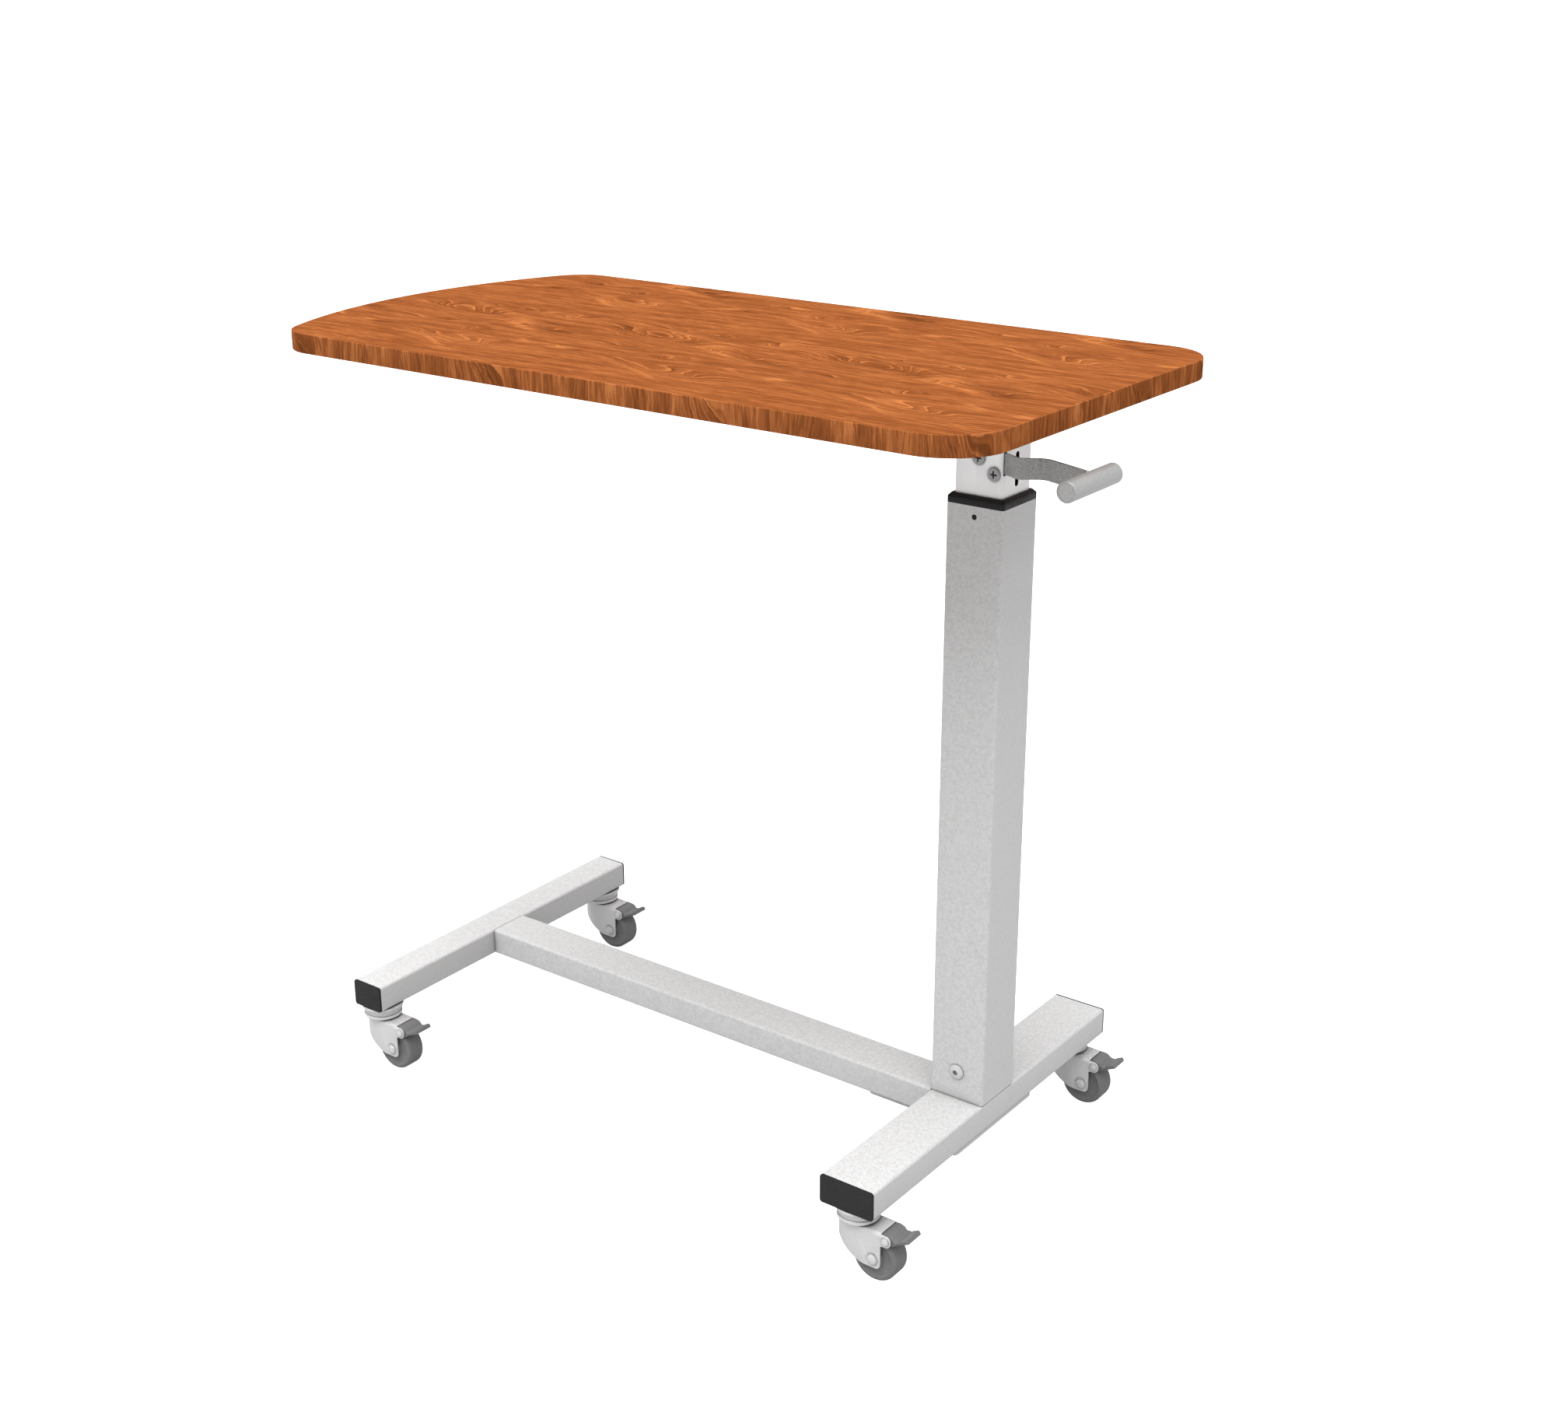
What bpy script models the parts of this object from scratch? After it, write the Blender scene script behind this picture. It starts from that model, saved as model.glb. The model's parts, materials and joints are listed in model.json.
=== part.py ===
"""Overbed table: a one-sided wheeled base, a gas-sprung square column and a wooden top.

+X runs from the free end of the base to the column end, Y is the depth and +Z is up.
The origin is on the floor, below the middle of the whole object. Lengths are metres.
"""

import math

import bmesh
import bpy
from mathutils import Matrix, Vector

# Fits between pieces
GAP = 0.0003  # between two pieces that touch
RUN = 0.00003  # radial room of a shaft that turns in a bore
ROUND = 20  # sides of a turned piece
SMALL = 12  # sides of a small one
WHEEL_SIDES = 28

# Wooden top
TOP_LENGTH = 0.850
TOP_DEPTH = 0.450
TOP_THICKNESS = 0.019
TOP_OVERHANG = 0.113  # from the column's centre to the straight end
TOP_UNDERSIDE = 0.800  # above the floor, with the column at its lowest
BOW = 0.0546  # how far the free end bows out
BOW_CORNER = 0.047
STRAIGHT_CORNER = 0.057
EDGE_BAND = 0.0012

# Steel tubes of the base: width, height and wall
WALL = 0.002
TUBE_CORNER = 0.003
BAR_HEIGHT = 0.030
BAR_TOP = 0.101
BAR_BOTTOM = BAR_TOP - BAR_HEIGHT
COLUMN_BAR_WIDTH = 0.060
COLUMN_BAR_LENGTH = 0.442
FREE_BAR_WIDTH = 0.040
FREE_BAR_LENGTH = 0.412
FREE_BAR_X = -0.651
RAIL_WIDTH = 0.050
RAIL_Y = -0.005  # the rail's near side is flush with the column's, and the free bar is centred on it
CAP_FLANGE = 0.002
CAP_PLUG = 0.009

# Plate welded under the column bar and the rail
PLATE_THICKNESS = 0.005
PLATE_DEPTH = 0.147
PLATE_RIGHT = 0.028
PLATE_LEFT = -0.031
PLATE_TONGUE = 0.040
PLATE_TONGUE_END = -0.110
PLATE_CORNER = 0.006

# Column
COLUMN_TUBE = 0.060
COLUMN_TUBE_TOP = 0.7072
COLLAR_STEP = 0.7130  # where the collar's chamfer starts
COLLAR_TOP = 0.7162
COLLAR_CHAMFER = 0.0028
COLLAR_SLEEVE_END = 0.650
COLLAR_PIN_Z = 0.6972
COLLAR_PIN = 0.0023
BASE_BOLT_Z = 0.131
BASE_BOLT = 0.005
BASE_BOLT_HEAD = 0.0083
INNER_TUBE = 0.050
INNER_TUBE_BOTTOM = 0.165
GLIDE_BOTTOM = 0.151
GLIDE_BORE = 0.015
GLIDE_SPIGOT = 0.015
GLIDE_PLAY = 0.0008
COLLAR_PIN_LENGTH = 0.0042
BASE_BOLT_RISE = 0.0055
BASE_BOLT_LENGTH = 0.014
BASE_BOLT_SOCKET = 0.35  # share of the head that is flat in the middle
INSIDE_CORNER = 0.001

# Steel support under the top
HEAD_PLATE = (0.090, 0.220, 0.005)
ARM_WIDTH = 0.030
ARM_HEIGHT = 0.020
ARM_WALL = 0.0015
ARM_Y = 0.090
ARM_ENDS = (-0.520, 0.040)
SCREW_PLACES = (-0.490, -0.100)
SCREW_SHANK = 0.002
SCREW_HEAD = 0.004
SCREW_DEPTH = 0.012

# Gas spring and its release
ANCHOR_TOP = 0.150
ANCHOR_WALL = 0.005
STUD_RADIUS = 0.004
STUD_LENGTH = 0.014
CYLINDER_END = 0.008
ROD_GUIDE = 0.012
PISTON_ENDS = (0.013, 0.028)  # above the post, with the column at its lowest
POST_RADIUS = 0.012
POST_TOP = 0.330
CYLINDER_RADIUS = 0.014
CYLINDER_BORE = 0.0105
CYLINDER_TOP = 0.680
ROD_RADIUS = 0.005
ROD_TOP = 0.735
PISTON_RADIUS = 0.0104
PIN_RADIUS = 0.0016
PIN_TOP = 0.7406
PIN_LENGTH = 0.033
PIN_STROKE = 0.006
HEAD_BLOCK = (0.023, 0.0384, 0.050)
HEAD_BLOCK_BOTTOM = 0.712
POCKET = ((-0.008, -0.025), (0.016, 0.009), 0.0105)  # for the lever's tongue: two corners and height
TUBE_BOLT = 0.003
TUBE_BOLT_HEAD = 0.0065
NUT_RADIUS = 0.0058
NUT_HEIGHT = 0.005
HEAD_BOLT_Z = 0.751

# Release lever
PIVOT_X = 0.0165
PIVOT_Z = 0.738
STRIP_THICKNESS = 0.003
STRIP_LOW = 0.7385
STRIP_HIGH = 0.7575
STRIP_Y = -0.0212
STRIP_INNER_END = 0.0065
LEVER_HUB = 0.006
STRIP_BENDS = ((0.0275, -0.0212, 0.012), (0.0437, -0.0294, 0.007), (0.0629, -0.0161, 0.014))
GRIP_RADIUS = 0.0096
GRIP_LENGTH = 0.084
GRIP_X = 0.1177
GRIP_Y = -0.0354
GRIP_Z = (STRIP_LOW + STRIP_HIGH) / 2
TONGUE_Z = 0.741
TONGUE_THICKNESS = 0.003
TONGUE_ENDS = (-0.004, 0.009)
TONGUE_REACH = 0.004
SLIT_ENDS = (0.0212, 0.0265)
SLIT_HEIGHTS = (0.7370, 0.7605)
SLIT_MARGIN = 0.0006
SLOT_WIDTH = 0.006
SLOT_ENDS = (0.7235, 0.7555)

# Casters
WHEEL_RADIUS = 0.0245
WHEEL_HALF_WIDTH = 0.0112
TREAD_HALF_WIDTH = 0.0075
TRAIL = 0.025  # from the swivel axis to the axle
CASTER_INSET = 0.022  # from the bar's end to the swivel axis
FORK_HALF_WIDTH = 0.014
FORK_SHEET = 0.0018
FORK_TOP = 0.056
FORK_ROOF = 0.002
FORK_REAR = 0.034
FORK_SIDE_END = 0.005  # where the flat sides turn into the elliptic front
FORK_NOSE = 0.026
CUP_RADIUS = 0.0208
CUP_TOP = 0.0613
RACE_RADIUS = 0.0228
RACE_RIM = 0.003
RACE_TAPER = 0.0025
STEM_RADIUS = 0.005
STEM_TOP = 0.092
KINGPIN_RADIUS = 0.004
KINGPIN_HEAD = 0.0025
AXLE_RADIUS = 0.003
AXLE_HEAD = 0.0062
AXLE_DOME = 0.0026
PEDAL_PIVOT = (0.039, 0.0488)  # from the swivel axis, and above the floor
PEDAL_HALF_WIDTH = 0.0119
PEDAL_PIN = 0.0015
PEDAL_PIN_HEAD = 0.0046
PEDAL_PIN_DOME = 0.0020
LUG_RADIUS = 0.006

# The column stands off the middle of the object, between the top's bowed end and the grip
TOP_BOW_TIP = TOP_OVERHANG - TOP_LENGTH
COLUMN_X = -(TOP_BOW_TIP + GRIP_X + GRIP_RADIUS) / 2

ALONG = {
    "X": Matrix.Rotation(math.pi / 2, 3, "Y"),
    "Y": Matrix.Rotation(math.pi / 2, 3, "X"),
    "Z": Matrix.Identity(3),
}


# ---------------------------------------------------------------- scene and materials
def clear_scene():
    for obj in list(bpy.data.objects):
        bpy.data.objects.remove(obj, do_unlink=True)


def make_material(name, colour, roughness, metallic=0.0):
    material = bpy.data.materials.new(name)
    material.use_nodes = True
    shader = material.node_tree.nodes["Principled BSDF"]
    shader.inputs["Base Color"].default_value = (*colour, 1.0)
    shader.inputs["Roughness"].default_value = roughness
    shader.inputs["Metallic"].default_value = metallic
    return material


def add_empty(name, location, parent=None):
    empty = bpy.data.objects.new(name, None)
    empty.location = location
    empty.parent = parent
    bpy.context.scene.collection.objects.link(empty)
    return empty


def add_object(name, shape, material, parent, location=(0, 0, 0)):
    """Turns a bmesh into a named object and frees the bmesh."""
    bmesh.ops.recalc_face_normals(shape, faces=shape.faces)
    mesh = bpy.data.meshes.new(name)
    shape.to_mesh(mesh)
    shape.free()
    mesh.shade_smooth()
    mesh.set_sharp_from_angle(angle=math.radians(35))
    obj = bpy.data.objects.new(name, mesh)
    obj.location = location
    obj.parent = parent
    if material:
        mesh.materials.append(material)
    bpy.context.scene.collection.objects.link(obj)
    return obj


def combine(target, shape, operation):
    """Adds, cuts or intersects a helper shape, given in the target's own coordinates."""
    helper = add_object(f"{target.name}_{operation.lower()}", shape, None, target)
    helper.hide_render = True
    helper.display_type = "WIRE"
    modifier = target.modifiers.new(operation.title(), "BOOLEAN")
    modifier.operation = operation
    modifier.solver = "EXACT"
    modifier.object = helper


def cut(target, *shapes):
    for shape in shapes:
        combine(target, shape, "DIFFERENCE")


# ---------------------------------------------------------------- outlines and solids
def arc(centre, radius, start, end, steps):
    """Points on an arc in a plane, from one angle to another in degrees, both ends included."""
    angles = [math.radians(start + (end - start) * i / steps) for i in range(steps + 1)]
    return [(centre[0] + radius * math.cos(a), centre[1] + radius * math.sin(a)) for a in angles]


def rounded_rectangle(width, height, radius, steps=3):
    """Outline of a rectangle about the origin with rounded corners."""
    points = []
    for quarter, (sx, sy) in enumerate(((1, 1), (-1, 1), (-1, -1), (1, -1))):
        centre = (sx * (width / 2 - radius), sy * (height / 2 - radius))
        points += arc(centre, radius, 90 * quarter, 90 * quarter + 90, steps)
    return points


def bent_path(start, bends, end, steps=5):
    """Centre line through bend corners, each (x, y, radius), rounded to its radius."""
    points = [start]
    stops = [start] + [bend[:2] for bend in bends] + [end]
    for before, corner, after, bend in zip(stops, stops[1:], stops[2:], bends):
        here = Vector(corner)
        back = (Vector(before) - here).normalized()
        ahead = (Vector(after) - here).normalized()
        half = back.angle(ahead) / 2
        centre = here + (back + ahead).normalized() * bend[2] / math.sin(half)
        first = here + back * bend[2] / math.tan(half) - centre
        turn = math.copysign(math.pi - 2 * half, first.cross(ahead))
        for i in range(steps + 1):
            spoke = Matrix.Rotation(turn * i / steps, 2) @ first
            points.append(tuple(centre + spoke))
    points.append(end)
    return points


def thicken(path, thickness):
    """Outline of a strip of even thickness about an open path."""
    left, right = [], []
    for i, point in enumerate(path):
        before = Vector(path[max(i - 1, 0)])
        after = Vector(path[min(i + 1, len(path) - 1)])
        along = (after - before).normalized()
        side = Vector((-along.y, along.x)) * thickness / 2
        left.append(tuple(Vector(point) + side))
        right.append(tuple(Vector(point) - side))
    return left + right[::-1]


def shape_from_loops(loops, axis, closed_ring):
    """Joins loops of equal length into a solid, either capped at both ends or turned back on itself."""
    shape = bmesh.new()
    rows = [[shape.verts.new(ALONG[axis] @ Vector(p)) for p in loop] for loop in loops]
    count = len(rows[0])
    pairs = list(zip(rows, rows[1:]))
    if closed_ring:
        pairs.append((rows[-1], rows[0]))
    else:
        shape.faces.new(rows[0])
        shape.faces.new(rows[-1])
    for lower, upper in pairs:
        for i in range(count):
            j = (i + 1) % count
            shape.faces.new((lower[i], lower[j], upper[j], upper[i]))
    return shape


def prism(outline, low, high, axis="Z"):
    """Outline pushed along an axis. Along Y the outline's second value is height."""
    loops = [[(x, y, z) for x, y in outline] for z in (low, high)]
    return shape_from_loops(loops, axis, False)


def box(low, high):
    outline = [(low[0], low[1]), (high[0], low[1]), (high[0], high[1]), (low[0], high[1])]
    return prism(outline, low[2], high[2])


def tube(width, height, wall, low, high, axis, corner=TUBE_CORNER):
    """Hollow rectangular tube, open at both ends."""
    outer = rounded_rectangle(width, height, corner)
    inner = rounded_rectangle(width - 2 * wall, height - 2 * wall, corner - wall)
    rows = ((outer, low), (outer, high), (inner, high), (inner, low))
    loops = [[(x, y, z) for x, y in outline] for outline, z in rows]
    return shape_from_loops(loops, axis, True)


def square_stack(levels, closed_ring):
    """Rounded squares, each (side, corner radius, height), joined in turn."""
    loops = [
        [(x, y, z) for x, y in rounded_rectangle(side, side, corner)] for side, corner, z in levels
    ]
    return shape_from_loops(loops, "Z", closed_ring)


def turned(profile, axis="Z", sides=ROUND, centre=(0, 0, 0)):
    """Profile of (radius, distance along the axis) points spun about the axis.

    A profile that starts and ends on the axis makes a solid, and any other makes a ring.
    """
    shape = bmesh.new()
    place = Matrix.Translation(centre) @ ALONG[axis].to_4x4()
    rows = []
    for radius, along in profile:
        ring = [
            shape.verts.new(
                place
                @ Vector(
                    (
                        radius * math.cos(2 * math.pi * i / sides),
                        radius * math.sin(2 * math.pi * i / sides),
                        along,
                    )
                )
            )
            for i in range(sides if radius > 0 else 1)
        ]
        rows.append(ring)
    pairs = list(zip(rows, rows[1:]))
    if profile[0][0] > 0:
        pairs.append((rows[-1], rows[0]))
    for a, b in pairs:
        for i in range(sides):
            j = (i + 1) % sides
            corners = [a[i % len(a)], a[j % len(a)], b[j % len(b)], b[i % len(b)]]
            shape.faces.new(list(dict.fromkeys(corners)))
    return shape


def rod(radius, low, high, axis="Z", centre=(0, 0, 0), sides=ROUND):
    profile = [(0, low), (radius, low), (radius, high), (0, high)]
    return turned(profile, axis, sides, centre)


def running_bore(radius, sides=ROUND):
    """Radius of a many-sided bore in which a shaft of this radius turns freely."""
    return (radius + RUN) / math.cos(math.pi / sides)


def dome(radius, height, base, steps=3):
    """Profile of a domed head, from its tip at base + height to its rim at base."""
    angles = [math.pi / 2 * i / steps for i in range(steps + 1)]
    return [(radius * math.sin(a), base + height * math.cos(a)) for a in angles]


def flipped(profile):
    return [(radius, -along) for radius, along in reversed(profile)]


# ---------------------------------------------------------------- base
def make_foot_bar(name, width, length, place, base, materials):
    x, y_middle = place
    half = length / 2 - CAP_FLANGE - GAP
    bar = add_object(
        name,
        tube(width, BAR_HEIGHT, WALL, -half, half, "Y"),
        materials["white"],
        base,
        (x, y_middle, BAR_TOP - BAR_HEIGHT / 2),
    )
    for side in (-1, 1):
        y = side * (length / 2 - CASTER_INSET)
        cut(bar, rod(STEM_RADIUS + GAP, -BAR_HEIGHT, 0, centre=(0, y, 0)))
    plug = rounded_rectangle(
        width - 2 * (WALL + GAP), BAR_HEIGHT - 2 * (WALL + GAP), TUBE_CORNER - WALL
    )
    flange = rounded_rectangle(width, BAR_HEIGHT, TUBE_CORNER)
    for side, end in ((-1, "near"), (1, "far")):
        levels = ((flange, 0), (flange, CAP_FLANGE), (plug, CAP_FLANGE), (plug, CAP_FLANGE + CAP_PLUG))
        loops = [[(px, py, side * z) for px, py in outline] for outline, z in levels]
        add_object(
            f"{name}_cap_{end}",
            shape_from_loops(loops, "Y", False),
            materials["cap"],
            base,
            (x, y_middle + side * length / 2, BAR_TOP - BAR_HEIGHT / 2),
        )


def make_base_rail(base, materials):
    start = FREE_BAR_X + FREE_BAR_WIDTH / 2 + GAP
    end = -COLUMN_BAR_WIDTH / 2 - GAP
    shape = tube(BAR_HEIGHT, RAIL_WIDTH, WALL, start, end, "X")
    place = (0, RAIL_Y, BAR_TOP - BAR_HEIGHT / 2)
    add_object("base_rail", shape, materials["white"], base, place)


def make_base_plate(base, materials):
    """T-shaped plate: its bar lies under the column bar and its tongue under the rail."""
    half, tongue, r = PLATE_DEPTH / 2, PLATE_TONGUE / 2, PLATE_CORNER
    upper = [(PLATE_LEFT, tongue)]
    upper += arc((PLATE_LEFT + r, half - r), r, 180, 90, 3)
    upper += arc((PLATE_RIGHT - r, half - r), r, 90, 0, 3)
    upper = arc((PLATE_TONGUE_END + r, tongue - r), r, 180, 90, 3) + upper
    outline = upper + [(x, -y) for x, y in reversed(upper)]
    top = BAR_BOTTOM - GAP
    add_object(
        "base_plate", prism(outline, top - PLATE_THICKNESS, top), materials["white"], base
    )


def make_column_tube(base, materials):
    shape = tube(COLUMN_TUBE, COLUMN_TUBE, WALL, BAR_TOP + GAP, COLUMN_TUBE_TOP, "Z")
    column = add_object("column_tube", shape, materials["white"], base)
    cut(
        column,
        rod(BASE_BOLT + GAP, -COLUMN_TUBE, COLUMN_TUBE, "Y", (0, 0, BASE_BOLT_Z)),
        rod(COLLAR_PIN + GAP, 0, COLUMN_TUBE, "Y", (0, 0, COLLAR_PIN_Z), SMALL),
    )


def make_collar(base, materials):
    outer = COLUMN_TUBE
    sleeve = COLUMN_TUBE - 2 * (WALL + GAP)
    bore = INNER_TUBE + 2 * GAP
    seat = COLUMN_TUBE_TOP + GAP
    levels = (
        (sleeve, INSIDE_CORNER, COLLAR_SLEEVE_END),
        (sleeve, INSIDE_CORNER, seat),
        (outer, TUBE_CORNER, seat),
        (outer, TUBE_CORNER, COLLAR_STEP),
        (outer - 2 * COLLAR_CHAMFER, TUBE_CORNER, COLLAR_TOP),
        (bore, TUBE_CORNER, COLLAR_TOP),
        (bore, TUBE_CORNER, COLLAR_SLEEVE_END),
    )
    collar = add_object("column_collar", square_stack(levels, True), materials["black"], base)
    cut(collar, rod(COLLAR_PIN + GAP, 0, COLUMN_TUBE, "Y", (0, 0, COLLAR_PIN_Z), SMALL))


def make_collar_pin(base, materials):
    face = COLUMN_TUBE / 2
    inner = face - COLLAR_PIN_LENGTH
    profile = dome(COLLAR_PIN, 0.0006, face) + [(COLLAR_PIN, inner), (0, inner)]
    shape = turned(profile, "Y", SMALL, (0, 0, COLLAR_PIN_Z))
    add_object("collar_pin", shape, materials["black"], base)


def make_base_bolts(base, materials):
    face = COLUMN_TUBE / 2 + GAP
    crown, end = face + BASE_BOLT_RISE, face - BASE_BOLT_LENGTH
    profile = [(0, crown), (BASE_BOLT_HEAD * BASE_BOLT_SOCKET, crown)]
    profile += dome(BASE_BOLT_HEAD, 0.0045, face + 0.0008)[2:]
    profile += [(BASE_BOLT_HEAD, face), (BASE_BOLT, face), (BASE_BOLT, end), (0, end)]
    for side, points in (("near", profile), ("far", flipped(profile))):
        shape = turned(points, "Y", ROUND, (0, 0, BASE_BOLT_Z))
        add_object(f"column_base_bolt_{side}", shape, materials["zinc"], base)


def make_anchor_post(base, materials):
    """Inverted cup inside the column's foot, with the post that carries the gas spring."""
    side = COLUMN_TUBE - 2 * (WALL + GAP)
    levels = ((side, INSIDE_CORNER, BAR_TOP + 2 * GAP), (side, INSIDE_CORNER, ANCHOR_TOP))
    anchor = add_object("anchor_post", square_stack(levels, False), materials["steel"], base)
    inside = side / 2 - ANCHOR_WALL
    cut(anchor, box((-inside, -inside, 0), (inside, inside, ANCHOR_TOP - ANCHOR_WALL)))
    combine(anchor, rod(POST_RADIUS, ANCHOR_TOP - 0.002, POST_TOP - GAP), "UNION")
    cut(
        anchor,
        rod(BASE_BOLT + GAP, -COLUMN_TUBE, COLUMN_TUBE, "Y", (0, 0, BASE_BOLT_Z)),
        rod(STUD_RADIUS + GAP, POST_TOP - STUD_LENGTH - 0.002, POST_TOP + 0.01),
    )


def make_gas_spring_cylinder(base, materials):
    profile = [
        (0, POST_TOP - STUD_LENGTH),
        (STUD_RADIUS, POST_TOP - STUD_LENGTH),
        (STUD_RADIUS, POST_TOP),
        (CYLINDER_RADIUS, POST_TOP),
        (CYLINDER_RADIUS, CYLINDER_TOP),
        (running_bore(ROD_RADIUS), CYLINDER_TOP),
        (running_bore(ROD_RADIUS), CYLINDER_TOP - ROD_GUIDE),
        (CYLINDER_BORE, CYLINDER_TOP - ROD_GUIDE),
        (CYLINDER_BORE, POST_TOP + CYLINDER_END),
        (0, POST_TOP + CYLINDER_END),
    ]
    add_object("gas_spring_cylinder", turned(profile), materials["black"], base)


# ---------------------------------------------------------------- lifting column and top
def make_inner_tube(lift, materials):
    top = TOP_UNDERSIDE - ARM_HEIGHT - HEAD_PLATE[2] - 3 * GAP
    shape = tube(INNER_TUBE, INNER_TUBE, WALL, INNER_TUBE_BOTTOM, top, "Z")
    inner = add_object("inner_tube", shape, materials["white"], lift)
    middle = (SLOT_ENDS[0] + SLOT_ENDS[1]) / 2
    slot = rounded_rectangle(
        SLOT_ENDS[1] - SLOT_ENDS[0], SLOT_WIDTH, SLOT_WIDTH * 0.48, 4
    )
    slot = [(x - middle, y) for x, y in slot]
    slit_half = STRIP_THICKNESS / 2 + SLIT_MARGIN
    cut(
        inner,
        rod(TUBE_BOLT + GAP, -INNER_TUBE, INNER_TUBE, "Y", (0, 0, HEAD_BOLT_Z), SMALL),
        rod(TUBE_BOLT + GAP, -INNER_TUBE, INNER_TUBE, "Y", (PIVOT_X, 0, PIVOT_Z), SMALL),
        prism(slot, 0.015, 0.030, "X"),
        box(
            (SLIT_ENDS[0], STRIP_Y - slit_half, SLIT_HEIGHTS[0]),
            (SLIT_ENDS[1], STRIP_Y + slit_half, SLIT_HEIGHTS[1]),
        ),
    )


def make_glide(lift, materials):
    foot = COLUMN_TUBE - 2 * WALL - GLIDE_PLAY
    spigot = INNER_TUBE - 2 * (WALL + GAP)
    levels = (
        (foot, INSIDE_CORNER, GLIDE_BOTTOM),
        (foot, INSIDE_CORNER, INNER_TUBE_BOTTOM - GAP),
        (spigot, INSIDE_CORNER, INNER_TUBE_BOTTOM - GAP),
        (spigot, INSIDE_CORNER, INNER_TUBE_BOTTOM + GLIDE_SPIGOT),
    )
    glide = add_object("inner_tube_glide", square_stack(levels, False), materials["black"], lift)
    cut(glide, rod(GLIDE_BORE, GLIDE_BOTTOM - 0.01, INNER_TUBE_BOTTOM + 0.03))


def make_top_support(lift, materials):
    plate_top = TOP_UNDERSIDE - ARM_HEIGHT - 2 * GAP
    outline = rounded_rectangle(HEAD_PLATE[0], HEAD_PLATE[1], 0.008)
    shape = prism(outline, plate_top - HEAD_PLATE[2], plate_top)
    add_object("head_plate", shape, materials["white"], lift)
    for side, end in ((-1, "near"), (1, "far")):
        arm = add_object(
            f"support_arm_{end}",
            tube(ARM_HEIGHT, ARM_WIDTH, ARM_WALL, *ARM_ENDS, "X", 0.0025),
            materials["white"],
            lift,
            (0, side * ARM_Y, TOP_UNDERSIDE - GAP - ARM_HEIGHT / 2),
        )
        for x in SCREW_PLACES:
            cut(arm, rod(SCREW_SHANK + GAP, -ARM_HEIGHT, ARM_HEIGHT, centre=(x, 0, 0), sides=SMALL))


def make_top_screws(lift, materials):
    under_arm = TOP_UNDERSIDE - 2 * GAP - ARM_HEIGHT
    profile = [
        (0, under_arm - 0.0026),
        (SCREW_HEAD * 0.7, under_arm - 0.0024),
        (SCREW_HEAD, under_arm - 0.0010),
        (SCREW_HEAD, under_arm),
        (SCREW_SHANK, under_arm),
        (SCREW_SHANK, TOP_UNDERSIDE + SCREW_DEPTH),
        (0, TOP_UNDERSIDE + SCREW_DEPTH + 0.002),
    ]
    number = 0
    for side in (-1, 1):
        for x in SCREW_PLACES:
            number += 1
            shape = turned(profile, "Z", SMALL, (x, side * ARM_Y, 0))
            add_object(f"tabletop_screw_{number}", shape, materials["zinc"], lift)


def top_outline(inset):
    """Outline of the top: straight at +X with round corners, bowed at -X."""
    half = TOP_DEPTH / 2
    bow = (half**2 + BOW**2) / (2 * BOW)
    bow_centre = TOP_BOW_TIP + bow
    r = STRAIGHT_CORNER
    upper = arc((TOP_OVERHANG - r, half - r), r - inset, 0, 90, 9)
    rise = half - BOW_CORNER
    corner_x = bow_centre - math.sqrt((bow - BOW_CORNER) ** 2 - rise**2)
    meet = math.degrees(math.atan2(rise, corner_x - bow_centre))
    upper += arc((corner_x, rise), BOW_CORNER - inset, 90, meet, 7)
    upper += arc((bow_centre, 0), bow - inset, meet, 180, 9)[1:]
    return upper + [(x, -y) for x, y in reversed(upper[:-1])]


def make_tabletop(lift, materials):
    top = TOP_UNDERSIDE + TOP_THICKNESS
    board = add_object(
        "tabletop", prism(top_outline(EDGE_BAND + GAP / 2), TOP_UNDERSIDE, top), materials["wood"], lift
    )
    for side in (-1, 1):
        for x in SCREW_PLACES:
            place = (x, side * ARM_Y, TOP_UNDERSIDE)
            cut(board, rod(SCREW_SHANK + GAP, -0.005, SCREW_DEPTH + 0.003, centre=place, sides=SMALL))
    outer, inner = top_outline(0), top_outline(EDGE_BAND)
    rows = ((outer, TOP_UNDERSIDE), (outer, top), (inner, top), (inner, TOP_UNDERSIDE))
    loops = [[(x, y, z) for x, y in outline] for outline, z in rows]
    add_object("tabletop_edge_band", shape_from_loops(loops, "Z", True), materials["wood_edge"], lift)


# ---------------------------------------------------------------- release
def make_gas_spring_rod(lift, materials):
    profile = [
        (0, POST_TOP + PISTON_ENDS[0]),
        (PISTON_RADIUS, POST_TOP + PISTON_ENDS[0]),
        (PISTON_RADIUS, POST_TOP + PISTON_ENDS[1]),
        (ROD_RADIUS, POST_TOP + PISTON_ENDS[1]),
        (ROD_RADIUS, ROD_TOP),
        (running_bore(PIN_RADIUS), ROD_TOP),
        (running_bore(PIN_RADIUS), PIN_TOP - PIN_LENGTH - PIN_STROKE),
        (0, PIN_TOP - PIN_LENGTH - PIN_STROKE),
    ]
    add_object("gas_spring_rod", turned(profile), materials["zinc"], lift)


def make_release_pin(lift, materials):
    profile = dome(PIN_RADIUS, 0.0006, PIN_TOP - 0.0006) + [
        (PIN_RADIUS, PIN_TOP - PIN_LENGTH),
        (0, PIN_TOP - PIN_LENGTH),
    ]
    add_object("release_pin", turned(profile), materials["zinc"], lift)


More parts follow.
